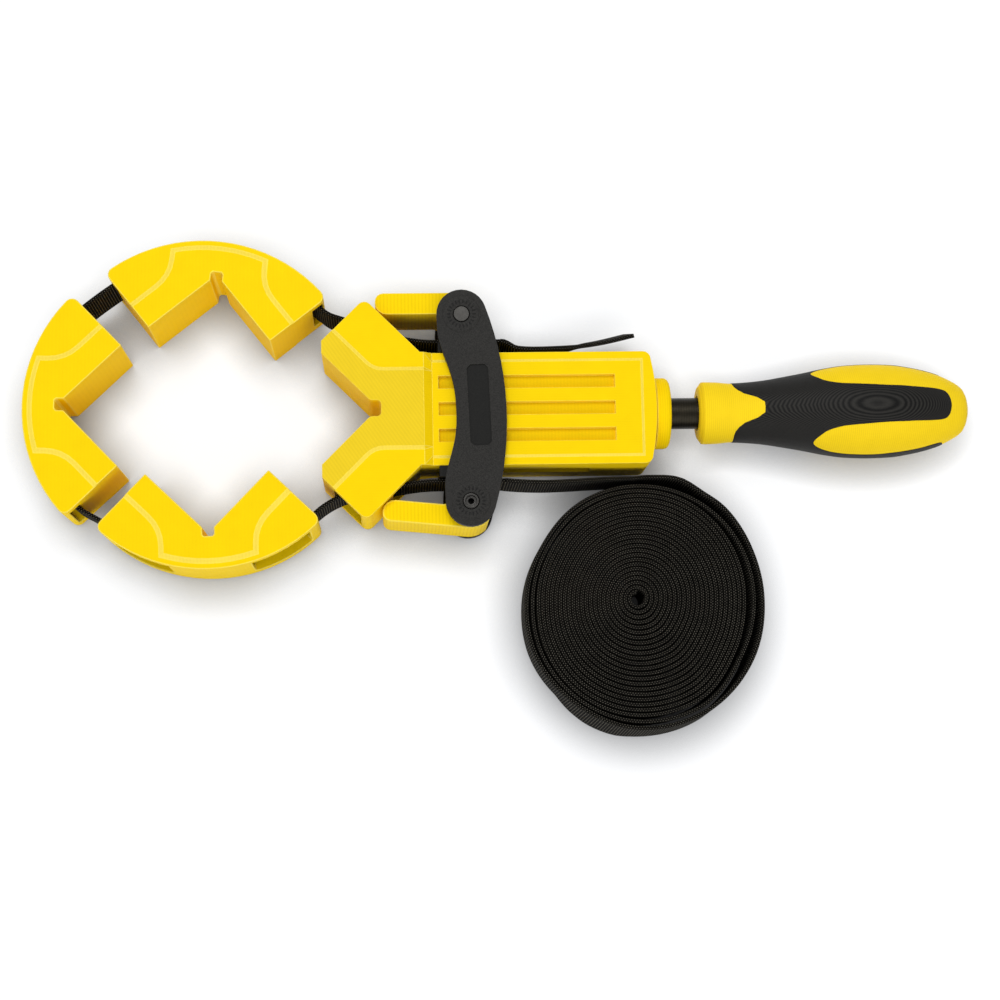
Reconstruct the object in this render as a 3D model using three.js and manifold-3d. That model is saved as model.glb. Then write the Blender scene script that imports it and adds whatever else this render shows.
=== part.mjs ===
// Band clamp: a webbing band strung through three corner jaws and a V head, tightened by a screw
// handle. Millimetres, +Z up, the bench at z = 0. The screw axis runs along +X above y = 0.
import * as THREE from 'three';
import { mergeVertices } from 'three/addons/utils/BufferGeometryUtils.js';
import Module from 'manifold-3d';

const wasm = await Module();
wasm.setup();

// Clearances shared by all pieces
const fitGap = 0.3;
const cutOverrun = 1;

// Facets of round shapes
const roundSides = 24;
const smallSides = 16;
const filletSteps = 4;

// Screw axis above the bench
const screwHeight = 19.75;

// Webbing band
const bandWidth = 25.4;
const bandThickness = 1.3;
const bandMidHeight = 19.5;
const bandSideGap = 0.5;
const bandStep = 4;

// Corner jaws, all three alike
const jawHeight = 38;
const jawArcRadius = 61;
const jawBackShare = 0.2246;
const jawLegShare = 0.5393;
const jawCornerRadius = 3;
const jawReliefWidth = 4.4;
const jawReliefDepth = 1.2;
const jawPanelRise = 0.9;
const jawPanelFaceWidth = 10.4;
const jawPanelHalfWidth = 17.2;
const jawPanelRim = 3.6;
const jawPanelBend = 7;
const jawSeatInset = 7;
const jawSlotWidth = 4.6;
const jawPostLength = 6;
const jawMiddleLength = 31.6;
const jawArcSteps = 20;
const jawTravelLength = 3;

// Places of the jaws: the centre of each jaw's arc, and the way its V opens
const topJawX = -75.44;
const topJawY = 5.68;
const topJawTurn = 172.9;
const leftJawX = -82.39;
const leftJawY = 1.66;
const leftJawTurn = -91.6;
const bottomJawX = -73.86;
const bottomJawY = 0.4;
const bottomJawTurn = 1.1;

// V head, half of it in each body shell
const headHeight = 39;
const headVertexSetback = 8.3;
const headLegLength = 33.9;
const headArmWidth = 26.9;
const headTipChamfer = 3.4;
const headCornerRadius = 3;
const headReliefWidth = 6.2;
const headReliefDepth = 1.1;
const headEnd = 9.2;
const headPanelRise = 0.9;
const headPanelFaceWidth = 9;
const headPanelHalfWidth = 14.7;
const headPanelBend = 4;

// Band pocket in each head arm
const pocketMouthIn = 9;
const pocketMouthOut = 23.6;
const pocketElbowAlong = 26;
const pocketElbowIn = 12.5;
const pocketElbowOut = 25;
const pocketExitInside = 2.98;
const pocketExitOutside = 4.12;

// Body
const bodyHalfWidth = 21.9;
const bodyRise = 16.25;
const bodyEnd = 99;
const bodyEndBulge = 2;
const bodyCornerRadius = 3;
const bodyPanelRise = 0.5;
const bodyPanelEnd = 93;
const bodyPanelInset = 3.7;
const seamGap = 0.3;
const grooveStart = 14.8;
const grooveEnd = 82.8;
const grooveWidth = 5;
const grooveSpacing = 10.35;
const grooveDepth = 2.2;

// Yoke and what it carries
const yokeX = 25.25;
const yokeSkew = 1.97;
const yokeTravelLength = 42;
const yokeTop = 39.5;
const yokePlateThickness = 3;
const yokeEndRadius = 9.6;
const yokeBulge = 5.8;
const yokeWaistSetback = 5.3;
const yokeSteps = 14;
const plaqueWidth = 8.2;
const plaqueLength = 31.5;
const plaqueDepth = 0.6;
const plaqueCorner = 1.4;
const plaqueOffsetX = 5.05;
const plaqueOffsetY = 0.65;
const ribLength = 10;
const ribWidth = 4;
const ribOffset = 6;

// Cam pins and spacers
const camGap = 0.4;
const pinRadius = 3;
const pinProud = 0.3;
const pinBoreRadius = 1.1;
const pinBoreDepth = 9;
const pinDishRadius = 2.1;
const pinDishDepth = 0.9;
const spacerRadius = 6.5;

// Cam levers
const leverLow = 6;
const leverHigh = 34;
const leverReach = 33.2;
const leverThickness = 8.4;
const leverOuterRadius = 9.7;
const leverTipOuterCorner = 3.2;
const leverTipInnerCorner = 4.6;
const leverRootFillet = 2.5;
const camRadius = 8;
const camFlat = 7.6;
const lowerLeverTurn = 5.8;

// Anvils and crosshead nut
const anvilHalfLength = 10.5;
const anvilThickness = 4.1;
const anvilTenonLength = 8;
const anvilTenonWidth = 2.2;
const anvilTenonDepth = 1.5;
const anvilPocketDepth = 1.6;
const nutHalfLength = 10;
const nutHalfWidth = 8.5;
const armHalfLength = 6;
const armHalfHeight = 4;

// Screw spindle and its bearing
const threadRadius = 5;
const spindleStart = 4;
const journalEnd = 12;
const shankRadius = 6.1;
const shankEnd = 160;
const flangeRadius = 8.5;
const flangeThickness = 3;
const chamberStart = 86;
const chamberRadius = 10.5;
const cavityEnd = 80;
const washerThickness = 1.5;

// End collar
const collarRadius = 14;
const collarEnd = 105.1;
const collarDome = 2.2;
const collarFlangeRadius = 12;
const collarFlangeThickness = 3;
const collarNeckRadius = 9.5;
const collarDomeSteps = 4;

// Assembly screws, driven from underneath
const screwHeadRadius = 3.4;
const screwHeadThickness = 3;
const screwHeadLow = 4.5;
const screwShankRadius = 1.9;
const screwTop = 31;
const screwSocketRadius = 1.6;
const screwSocketDepth = 1.8;
const screwSocketSides = 6;
const headScrewX = 1;
const headScrewInset = 11.4;
const bodyScrewX = 89.5;
const bodyScrewInset = 5.4;

// Handle
const handleStart = 116.4;
const handleLength = 107.3;
const handleSwell = 18.4;
const handleTurn = -4;
const handleProfileSteps = 20;
const gripThickness = 1.8;
const gripStart = 130;
const handleProfileShares = [
  [0, 0.6], [0.02, 0.663], [0.068, 0.657], [0.126, 0.628], [0.188, 0.646], [0.245, 0.68],
  [0.308, 0.74], [0.39, 0.826], [0.47, 0.92], [0.55, 0.982], [0.63, 1], [0.711, 0.985],
  [0.791, 0.917], [0.872, 0.8], [0.937, 0.636], [0.977, 0.473], [0.994, 0.25], [1, 0.04],
];
const topTongueShares = [
  [0.415, 0.723], [0.434, 0.614], [0.453, 0.543], [0.481, 0.495], [0.518, 0.451], [0.6, 0.418],
  [0.686, 0.386], [0.76, 0.37], [0.863, 0.332], [0.893, 0.25], [0.908, 0.13], [0.913, 0],
];
const sideTongueShares = [
  [0.415, 0.418], [0.453, 0.293], [0.49, 0.25], [0.565, 0.262], [0.649, 0.283], [0.723, 0.31],
  [0.807, 0.315], [0.865, 0.28], [0.89, 0.19], [0.9, 0],
];
const ferruleTongueShares = [
  [0.125, 0.49], [0.138, 0.4], [0.17, 0.285], [0.222, 0.205], [0.232, 0.16], [0.234, 0],
];

// Middle of the straight runs of the band, outside the anvils
const bandRunY = bodyHalfWidth + anvilThickness + 2 * fitGap + bandThickness / 2;

// Route of the loop where it leaves the head, as points along the middle of the band
const upperLoopEnd = [[2, bandRunY + 1.3], [-9, 32.75], [-16, 35], [-21.4, 36.6], [-27, 38.6], [-30.6, 41.3]];
const lowerLoopEnd = [[-31, -37.2], [-26, -34], [-20, -31.6], [-9, -30.1], [2, -bandRunY - 1.05]];
const lowerLeftBend = [-118, -38.4];

// Routes beside the body: each point's place along it, and how far it stands out from a straight run
const upperRunRoute = [[2.35, 1.15], [7, 0.4], [12, 0], [20, 0], [38.6, 0]];
const lowerRunRoute = [[2.35, 1], [7, 0.35], [12, 0], [20, 0], [39.7, 0]];
const tailRoute = [
  [39, 0], [40.2, 0], [42, -0.75], [44.8, -2.45], [49, -3.05], [60, -3.05], [71.6, -2.45], [80, -1.15], [91.2, 1.45],
];
const leadRoute = [[40, 0], [46, 0.15], [55, 0.1], [65, -0.55], [74, -1.35], [82, -1.85], [89.85, -2]];

// Coil of the spare band, wound on edge on the bench
const coilX = 90.2;
const coilSetback = 45.65;
const coilY = -bandRunY - coilSetback;
const coilTurns = 24;
const coilStepsPerTurn = 24;
const coilPitch = 1.75;
const coilRadius = 44.5;
const coilSlack = 7.4;
const coilSlackShares = [
  [0, 0.43], [0.12, 0.72], [0.25, 0.9], [0.4, 1], [0.55, 0.8], [0.7, 0.2], [0.8, 0.04], [1, 0.03],
  [1.2, 0.1], [1.4, 0.28], [1.52, 0.34], [1.68, 0.12], [1.8, 0.03], [2, 0.02], [2.2, 0.05],
  [2.4, 0.17], [2.52, 0.22], [2.66, 0.08], [2.8, 0.02], [3, 0.01], [3.3, 0.05], [3.5, 0.11],
  [3.7, 0.03], [4, 0], [24, 0],
];

// Colours
const yellow = { color: 0xffd60f, roughness: 0.5, metalness: 0 };
const darkPlastic = { color: 0x3a3938, roughness: 0.6, metalness: 0 };
const darkRubber = { color: 0x2b2928, roughness: 0.7, metalness: 0 };
const webbing = { color: 0x1e1c18, roughness: 0.9, metalness: 0 };
const steel = { color: 0x8c8c8a, roughness: 0.35, metalness: 1 };
const blackSteel = { color: 0x2e2d2c, roughness: 0.45, metalness: 1 };
const nutMetal = { color: 0xb8b8b4, roughness: 0.4, metalness: 1 };

const fullTurn = 2 * Math.PI;
const quarterTurn = Math.PI / 2;
const eighthTurn = Math.PI / 4;
const diagonal = Math.SQRT1_2;
const radians = THREE.MathUtils.degToRad;

// Solids: a closed geometry goes in, cuts and joins come out as a geometry again

function solidOf(geometry) {
  const bare = geometry.clone();
  bare.deleteAttribute('normal');
  bare.deleteAttribute('uv');
  const welded = mergeVertices(bare);
  const mesh = new wasm.Mesh({
    numProp: 3,
    vertProperties: new Float32Array(welded.attributes.position.array),
    triVerts: new Uint32Array(welded.index.array),
  });
  return new wasm.Manifold(mesh);
}

function geometryOf(solid) {
  const mesh = solid.getMesh();
  const geometry = new THREE.BufferGeometry();
  geometry.setAttribute('position', new THREE.BufferAttribute(mesh.vertProperties, 3));
  geometry.setIndex(new THREE.BufferAttribute(mesh.triVerts, 1));
  geometry.computeVertexNormals();
  return geometry;
}

function join(...solids) {
  return solids.reduce((whole, next) => whole.add(next));
}

function cut(solid, ...tools) {
  return tools.reduce((rest, tool) => rest.subtract(tool), solid);
}

function prism(points, low, high) {
  const shape = new THREE.Shape(points.map(([x, y]) => new THREE.Vector2(x, y)));
  const geometry = new THREE.ExtrudeGeometry(shape, { depth: high - low, bevelEnabled: false });
  return solidOf(geometry.translate(0, 0, low));
}

function block(x0, x1, y0, y1, z0, z1) {
  const geometry = new THREE.BoxGeometry(x1 - x0, y1 - y0, z1 - z0);
  return solidOf(geometry.translate((x0 + x1) / 2, (y0 + y1) / 2, (z0 + z1) / 2));
}

function post(radius, low, high, x = 0, y = 0, sides = roundSides) {
  const geometry = new THREE.CylinderGeometry(radius, radius, high - low, sides);
  geometry.rotateX(quarterTurn);
  return solidOf(geometry.translate(x, y, (low + high) / 2));
}

// A turned solid about the X axis, from points of [place along X, radius]
function turned(profile, sides = roundSides) {
  const points = profile.map(([along, radius]) => new THREE.Vector2(radius, along));
  if (THREE.ShapeUtils.isClockWise(points)) points.reverse();
  points.push(points[0].clone());
  const geometry = new THREE.LatheGeometry(points, sides);
  geometry.rotateZ(-quarterTurn);
  return solidOf(geometry);
}

function rod(radius, start, end, sides = roundSides) {
  return turned([[start, 0], [end, 0], [end, radius], [start, radius]], sides);
}

function ring(inner, outer, start, end) {
  return turned([[start, inner], [end, inner], [end, outer], [start, outer]]);
}

// Outline helpers

function arcPoints(x, y, radius, from, to, steps) {
  const points = [];
  for (let i = 0; i <= steps; i += 1) {
    const angle = from + ((to - from) * i) / steps;
    points.push([x + radius * Math.cos(angle), y + radius * Math.sin(angle)]);
  }
  return points;
}

function bendPoints(start, corner, end, steps) {
  const bend = new THREE.QuadraticBezierCurve(
    new THREE.Vector2(...start),
    new THREE.Vector2(...corner),
    new THREE.Vector2(...end),
  );
  return bend.getPoints(steps).map((point) => [point.x, point.y]);
}

function mirroredInX(points) {
  return points.map(([x, y]) => [-x, y]).reverse();
}

function mirroredInY(points) {
  return points.map(([x, y]) => [x, -y]).reverse();
}

function part(name, solid, look) {
  const mesh = new THREE.Mesh(geometryOf(solid), new THREE.MeshStandardMaterial(look));
  mesh.name = name;
  return mesh;
}

// Corner jaw, drawn about the centre of its arc, with its V opening towards +Y

const jawArcOffset = jawArcRadius * (1 - jawBackShare);
const jawLegLength = jawArcRadius * jawLegShare;
const jawVertexY = -jawArcOffset;
const jawTip = jawLegLength * diagonal;
const jawReliefHalf = jawReliefWidth / 2;
const jawEndSum = 2 * jawTip + jawVertexY;
const jawSeatRadius = jawArcRadius - jawSeatInset;
const jawSlotRadius = jawSeatRadius + jawSlotWidth;
const jawPanelArcRadius = jawArcRadius - jawPanelRim;

// Where a line x + y = sum meets a circle of this radius about the origin, right and low
function lineOnCircle(sum, radius) {
  const reach = Math.sqrt(radius * radius - (sum * sum) / 2) * diagonal;
  return [sum / 2 + reach, sum / 2 - reach];
}

const jawEndAngle = Math.atan2(...lineOnCircle(jawEndSum, jawSlotRadius).map(Math.abs));
const jawPostAngle = jawEndAngle - jawPostLength / jawArcRadius;
const jawMiddleAngle = Math.asin(jawMiddleLength / 2 / jawArcRadius);

function jawOutline() {
  const fillet = lineOnCircle(jawEndSum - jawCornerRadius / diagonal, jawArcRadius - jawCornerRadius);
  const filletEnd = Math.atan2(fillet[1], fillet[0]);
  const corner = arcPoints(...fillet, jawCornerRadius, eighthTurn, filletEnd, filletSteps);
  const right = [
    [0, jawVertexY - jawReliefDepth],
    [jawReliefHalf - jawReliefDepth / 2, jawVertexY - jawReliefDepth],
    [jawReliefHalf, jawVertexY - jawReliefDepth / 2],
    [jawReliefHalf, jawVertexY + jawReliefHalf],
    [jawTip, jawVertexY + jawTip],
    ...corner,
  ];
  const arc = arcPoints(0, 0, jawArcRadius, filletEnd, -Math.PI - filletEnd, jawArcSteps);
  return [...right, ...arc.slice(1, -1), ...mirroredInX(right).slice(0, -1)];
}

// The raised panel follows the V faces, then bends down to a rim inside the arc
function jawPanelOutline() {
  const faceShift = jawPanelFaceWidth / diagonal;
  const endY = (jawEndSum + jawVertexY - faceShift) / 2;
  const endX = jawEndSum - endY;
  const kneeY = jawVertexY + jawPanelHalfWidth - faceShift;
  const rimY = -Math.sqrt(jawPanelArcRadius ** 2 - jawPanelHalfWidth ** 2);
  const bend = bendPoints(
    [jawPanelHalfWidth + jawPanelBend * diagonal, kneeY + jawPanelBend * diagonal],
    [jawPanelHalfWidth, kneeY],
    [jawPanelHalfWidth, kneeY - jawPanelBend],
    filletSteps,
  );
  const right = [
    [0, jawVertexY],
    [jawTip, jawVertexY + jawTip],
    [endX, endY],
    ...bend,
  ];
  const rimAngle = Math.atan2(rimY, jawPanelHalfWidth);
  const rim = arcPoints(0, 0, jawPanelArcRadius, rimAngle, -Math.PI - rimAngle, filletSteps * 2);
  return [...right, ...rim, ...mirroredInX(right).slice(0, -1)];
}

// A piece of ring between two radii, from one angle to another, measured from the V's axis
function ringSector(inner, outer, from, to, low, high, steps) {
  const start = from - quarterTurn;
  const end = to - quarterTurn;
  const outside = arcPoints(0, 0, outer, start, end, steps);
  const inside = arcPoints(0, 0, inner, end, start, steps);
  return prism([...outside, ...inside], low, high);
}

function jawSolid() {
  const outline = jawOutline();
  const whole = prism(outline, jawPanelRise, jawHeight - jawPanelRise);
  const panels = prism(jawPanelOutline(), 0, jawHeight).intersect(prism(outline, 0, jawHeight));
  const slotLow = bandMidHeight - bandWidth / 2 - bandSideGap;
  const slotHigh = bandMidHeight + bandWidth / 2 + bandSideGap;
  const slotReach = jawEndAngle + jawPostLength / jawArcRadius;
  const slot = ringSector(
    jawSeatRadius, jawSlotRadius, -slotReach, slotReach, slotLow, slotHigh, jawArcSteps * 2,
  );
  const windowOuter = jawArcRadius + cutOverrun;
  const windowInner = (jawSeatRadius + jawSlotRadius) / 2;
  const windows = [-1, 1].map((side) => {
    const from = side > 0 ? jawMiddleAngle : -jawPostAngle;
    const to = side > 0 ? jawPostAngle : -jawMiddleAngle;
    return ringSector(windowInner, windowOuter, from, to, slotLow, slotHigh, jawArcSteps / 2);
  });
  return cut(join(whole, panels), slot, ...windows);
}

function jaw(name, x, y, turn) {
  const mesh = part(name, jawSolid(), yellow);
  mesh.position.set(x, y, 0);
  mesh.rotation.z = radians(turn);
  return mesh;
}

// Body shells: each is drawn above the screw axis, and the lower one is turned over

const headPanelShift = headPanelFaceWidth / diagonal - headVertexSetback;
const headReliefHalf = headReliefWidth / 2;

// A place in the upper head arm: along its V face from the vertex, and back from that face
function armPoint(along, back) {
  return [(back - along) * diagonal - headVertexSetback, (back + along) * diagonal];
}

function headTopHalf(backOfTip) {
  return [
    [headReliefDepth - headVertexSetback, 0],
    [headReliefDepth - headVertexSetback, headReliefHalf],
    [-headVertexSetback - headReliefHalf, headReliefHalf],
    armPoint(headLegLength - headTipChamfer, 0),
    armPoint(headLegLength, headTipChamfer),
    ...backOfTip,
  ];
}

function headOutline() {
  const fillet = armPoint(headLegLength - headCornerRadius, headArmWidth - headCornerRadius);
  const corner = arcPoints(...fillet, headCornerRadius, 3 * eighthTurn, eighthTurn, filletSteps);
  const shoulderX = headArmWidth / diagonal - headVertexSetback - bodyHalfWidth;
  const upper = headTopHalf([...corner, [shoulderX, bodyHalfWidth], [headEnd, bodyHalfWidth]]);
  return [...upper, ...mirroredInY(upper).slice(0, -1)].reverse();
}

function headPanelOutline() {
  const kneeX = headPanelShift - headPanelHalfWidth;
  const bend = bendPoints(
    [kneeX - headPanelBend * diagonal, headPanelHalfWidth + headPanelBend * diagonal],
    [kneeX, headPanelHalfWidth],
    [kneeX + headPanelBend, headPanelHalfWidth],
    filletSteps,
  );
  const upper = headTopHalf([
    armPoint(headLegLength, headPanelFaceWidth),
    ...bend,
    [headEnd, headPanelHalfWidth],
  ]);
  return [...upper, ...mirroredInY(upper).slice(0, -1)].reverse();
}

function bodyOutline() {
  const cornerX = bodyEnd - bodyEndBulge - bodyCornerRadius;
  const cornerY = bodyHalfWidth - bodyCornerRadius;
  const corner = arcPoints(cornerX, cornerY, bodyCornerRadius, quarterTurn, 0, filletSteps);
  const bulge = bendPoints([bodyEnd - bodyEndBulge, cornerY], [bodyEnd, cornerY / 2], [bodyEnd, 0], filletSteps);
  const upper = [[0, bodyHalfWidth], ...corner, ...bulge.slice(1)];
  return [...upper, ...mirroredInY(upper).slice(1)].reverse();
}

function bandPocket(side) {
  const exit = upperLoopEnd[0][1] / diagonal - headArmWidth;
  const outline = [
    armPoint(headLegLength + cutOverrun, pocketMouthIn),
    armPoint(pocketElbowAlong, pocketElbowIn),
    armPoint(exit - pocketExitInside, headArmWidth + cutOverrun),
    armPoint(exit + pocketExitOutside, headArmWidth + cutOverrun),
    armPoint(pocketElbowOut, pocketMouthOut),
    armPoint(headLegLength + cutOverrun, pocketMouthOut),
  ];
  const rise = bandWidth / 2 + bandSideGap + (screwHeight - bandMidHeight);
  return prism(side > 0 ? outline : mirroredInY(outline), -cutOverrun, rise);
}

const chamberEnd = chamberStart + flangeThickness + 2 * washerThickness + 4 * fitGap;
const collarFlangeEnd = chamberEnd + collarFlangeThickness;
const cavityStart = journalEnd;
const headScrewY = bodyHalfWidth - headScrewInset;
const bodyScrewY = bodyHalfWidth - bodyScrewInset;
const assemblyScrews = [
  [headScrewX, headScrewY], [headScrewX, -headScrewY], [bodyScrewX, bodyScrewY], [bodyScrewX, -bodyScrewY],
];

function shellSolid(headRise, screwCuts) {
  const low = seamGap / 2;
  const head = prism(headOutline(), low, headRise - headPanelRise);
  const headPanel = prism(headPanelOutline(), low, headRise);
  const body = prism(bodyOutline(), low, bodyRise - bodyPanelRise);
  const panelHalf = bodyHalfWidth - bodyPanelInset;
  const bodyPanel = block(0, bodyPanelEnd, -panelHalf, panelHalf, low, bodyRise);
  const grooves = [-1, 0, 1].map((row) => {
    const middle = row * grooveSpacing;
    const floor = bodyRise - grooveDepth;
    const half = grooveWidth / 2;
    return block(grooveStart, grooveEnd, middle - half, middle + half, floor, bodyRise + cutOverrun);
  });
  const cavityHalf = nutHalfWidth + fitGap;
  const cavity = block(cavityStart, cavityEnd, -cavityHalf, cavityHalf, -cutOverrun, cavityHalf);
  const slotStart = yokeX - armHalfLength - fitGap;
  const slotEnd = yokeX + yokeTravelLength + armHalfLength + fitGap;
  const slotHalf = bodyHalfWidth + cutOverrun;
  const armSlot = block(slotStart, slotEnd, -slotHalf, slotHalf, -cutOverrun, armHalfHeight + fitGap);
  const bearings = [
    rod(threadRadius + fitGap, spindleStart - fitGap, chamberStart),
    rod(chamberRadius, chamberStart, chamberEnd),
    rod(collarFlangeRadius + fitGap, chamberEnd - fitGap, collarFlangeEnd + fitGap),
    rod(collarNeckRadius + fitGap, chamberEnd, bodyEnd + cutOverrun),
  ];
  const pockets = [bandPocket(1), bandPocket(-1)];
  const whole = join(head, headPanel, body, bodyPanel);
  return cut(whole, ...grooves, cavity, armSlot, ...bearings, ...pockets, ...screwCuts);
}

function upperShell() {
  const pilots = assemblyScrews.map(([x, y]) => {
    return post(screwShankRadius + fitGap, -cutOverrun, screwTop + fitGap - screwHeight, x, y, smallSides);
  });
  const mesh = part('body_upper_shell', shellSolid(headHeight - screwHeight, pilots), yellow);
  mesh.position.z = screwHeight;
  return mesh;
}

// The lower shell is drawn upside down, so its screw holes are counterbored from its top
function lowerShell() {
  const counterFloor = screwHeight - screwHeadLow - screwHeadThickness - fitGap;
  const holes = assemblyScrews.map(([x, y]) => join(
    post(screwShankRadius + fitGap, -cutOverrun, screwHeight, x, -y, smallSides),
    post(screwHeadRadius + fitGap, counterFloor, screwHeight + cutOverrun, x, -y, smallSides),
  ));
  const mesh = part('body_lower_shell', shellSolid(screwHeight, holes), yellow);
  mesh.position.z = screwHeight;
  mesh.rotation.x = Math.PI;
  return mesh;
}

function assemblyScrew(number, x, y) {
  const shankLow = screwHeadLow + screwHeadThickness;
  const head = post(screwHeadRadius, screwHeadLow, shankLow, 0, 0, smallSides);
  const shank = post(screwShankRadius, shankLow - fitGap, screwTop, 0, 0, smallSides);
  const socketTop = screwHeadLow + screwSocketDepth;
  const socket = post(screwSocketRadius, screwHeadLow - cutOverrun, socketTop, 0, 0, screwSocketSides);
  const mesh = part(`assembly_screw_${number}`, cut(join(head, shank), socket), steel);
  mesh.position.set(x, y, 0);
  return mesh;
}

// Pieces on the screw axis are drawn about y = 0, z = 0 and lifted to the axis by their group

function endCollar() {
  const start = bodyEnd + fitGap;
  const dome = [];
  for (let i = 0; i <= collarDomeSteps; i += 1) {
    const angle = (quarterTurn * i) / collarDomeSteps;
    dome.push([
      collarEnd - collarDome + collarDome * Math.sin(angle),
      collarRadius - collarDome + collarDome * Math.cos(angle),
    ]);
  }
  const bore = shankRadius + fitGap;
  return part('end_collar', turned([
    [chamberEnd, bore],
    [chamberEnd, collarFlangeRadius],
    [collarFlangeEnd, collarFlangeRadius],
    [collarFlangeEnd, collarNeckRadius],
    [start, collarNeckRadius],
    [start, collarRadius],
    ...dome,
    [collarEnd, bore],
  ]), yellow);
}

const frontWasherStart = chamberStart + fitGap;
const flangeStart = frontWasherStart + washerThickness + fitGap;
const rearWasherStart = flangeStart + flangeThickness + fitGap;

function thrustWasher(name, start, shaftRadius) {
  const outer = chamberRadius - fitGap;
  return part(name, ring(shaftRadius + fitGap, outer, start, start + washerThickness), steel);
}

function screwSpindle() {
  const flangeEnd = flangeStart + flangeThickness;
  return part('screw_spindle', turned([
    [spindleStart, 0],
    [shankEnd, 0],
    [shankEnd, shankRadius],
    [flangeEnd, shankRadius],
    [flangeEnd, flangeRadius],
    [flangeStart, flangeRadius],
    [flangeStart, threadRadius],
    [spindleStart, threadRadius],
  ]), blackSteel);
}

// The nut rides on the thread, and its two arms reach out through the body's side slots
function crossheadNut() {
  const armReach = bodyHalfWidth + fitGap + anvilPocketDepth - fitGap;
  const nut = block(-nutHalfLength, nutHalfLength, -nutHalfWidth, nutHalfWidth, -nutHalfWidth, nutHalfWidth);
  const arms = block(-armHalfLength, armHalfLength, -armReach, armReach, -armHalfHeight, armHalfHeight);
  const reach = nutHalfLength + cutOverrun;
  return part('crosshead_nut', cut(join(nut, arms), rod(threadRadius + fitGap, -reach, reach)), nutMetal);
}

// Anvils stand between the yoke plates, one on each side of the body

const yokeLowPlateTop = yokePlateThickness;
const yokeHighPlateLow = yokeTop - yokePlateThickness;
const anvilInner = bodyHalfWidth + fitGap;
const anvilMiddle = anvilInner + anvilThickness / 2;

function anvil(name, side) {
  const low = yokeLowPlateTop + fitGap;
  const high = yokeHighPlateLow - fitGap;
  const half = anvilThickness / 2;
  const bar = block(-anvilHalfLength, anvilHalfLength, -half, half, low, high);
  const tenonX = anvilTenonLength / 2;
  const tenonY = anvilTenonWidth / 2;
  const tenonDepth = anvilTenonDepth;
  const tenon = block(-tenonX, tenonX, -tenonY, tenonY, low - tenonDepth, high + tenonDepth);
  const pocketX = armHalfLength + fitGap;
  const pocketZ = armHalfHeight + fitGap;
  const inward = -side * half;
  const pocket = block(
    -pocketX, pocketX,
    Math.min(inward, inward + side * anvilPocketDepth) - (side > 0 ? cutOverrun : 0),
    Math.max(inward, inward + side * anvilPocketDepth) + (side > 0 ? 0 : cutOverrun),
    screwHeight - pocketZ, screwHeight + pocketZ,
  );
  const mesh = part(name, cut(join(bar, tenon), pocket), darkPlastic);
  mesh.position.y = side * anvilMiddle;
  return mesh;
}

// Yoke plates: a curved bar from pin to pin that bulges towards the handle

const pinY = bandRunY + bandThickness / 2 + camGap + camRadius;
const yokeWaistLength = pinY - yokeWaistSetback;
const yokeOuterX = yokeBulge + yokeEndRadius;
const yokeOuterRadius = (yokeOuterX ** 2 + pinY ** 2 - yokeEndRadius ** 2) / (2 * (yokeOuterX - yokeEndRadius));
const yokeOuterCentre = yokeOuterX - yokeOuterRadius;
const yokeWaistPowerShare = 1.3;

function yokeOutline() {
  const tangent = Math.atan2(pinY, -yokeOuterCentre);
  const outer = arcPoints(yokeOuterCentre, 0, yokeOuterRadius, 0, tangent, yokeSteps / 2);
  const end = arcPoints(0, pinY, yokeEndRadius, tangent, Math.PI, yokeSteps);
  const waist = [];
  for (let i = 0; i <= yokeSteps; i += 1) {
    const y = yokeWaistLength * (1 - i / yokeSteps);
    const turn = Math.PI * (y / yokeWaistLength) ** yokeWaistPowerShare;
    waist.push([-yokeEndRadius + yokeBulge * (1 + Math.cos(turn)) / 2, y]);
  }
  const upper = [...outer, ...end.slice(1), ...waist];
  return [...upper, ...mirroredInY(upper).slice(1, -1)];
}

// A block in line with the body, seen from the skewed yoke
function squareBlock(...ends) {
  const [x0, x1, y0, y1, z0, z1] = ends;
  const geometry = new THREE.BoxGeometry(x1 - x0, y1 - y0, z1 - z0);
  geometry.translate((x0 + x1) / 2, (y0 + y1) / 2, (z0 + z1) / 2);
  return solidOf(geometry.rotateZ(-radians(yokeSkew)));
}

function yokePlate(low, inwards) {
  const high = low + yokePlateThickness;
  const holes = [-1, 1].map((side) => post(pinRadius + fitGap, low - cutOverrun, high + cutOverrun, 0, side * pinY));
  const face = inwards > 0 ? high : low;
  const socketX = anvilTenonLength / 2 + fitGap;
  const socketHalf = anvilTenonWidth / 2 + fitGap;
  const sockets = [-1, 1].map((side) => squareBlock(
    -socketX, socketX,
    side * anvilMiddle - socketHalf, side * anvilMiddle + socketHalf,
    face - anvilTenonDepth, face + anvilTenonDepth,
  ));
  const ribTip = face + inwards * (yokeHighPlateLow - screwHeight - bodyRise + grooveDepth - fitGap);
  const ribs = [-1, 0, 1].map((row) => squareBlock(
    ribOffset - ribLength / 2, ribOffset + ribLength / 2,
    row * grooveSpacing - ribWidth / 2, row * grooveSpacing + ribWidth / 2,
    Math.min(face - inwards, ribTip), Math.max(face - inwards, ribTip),
  ));
  return cut(join(prism(yokeOutline(), low, high), ...ribs), ...holes, ...sockets);
}

function plaqueRecess() {
  const halfX = plaqueWidth / 2;
  const halfY = plaqueLength / 2;
  const quarter = [[halfX, halfY - plaqueCorner], [halfX - plaqueCorner, halfY]];
  const side = [...quarter, ...mirroredInX(quarter)];
  const outline = [...side, ...side.map(([x, y]) => [-x, -y])];
  const placed = outline.map(([x, y]) => [x + plaqueOffsetX, y + plaqueOffsetY]);
  return prism(placed, yokeTop - plaqueDepth, yokeTop + cutOverrun);
}

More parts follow.
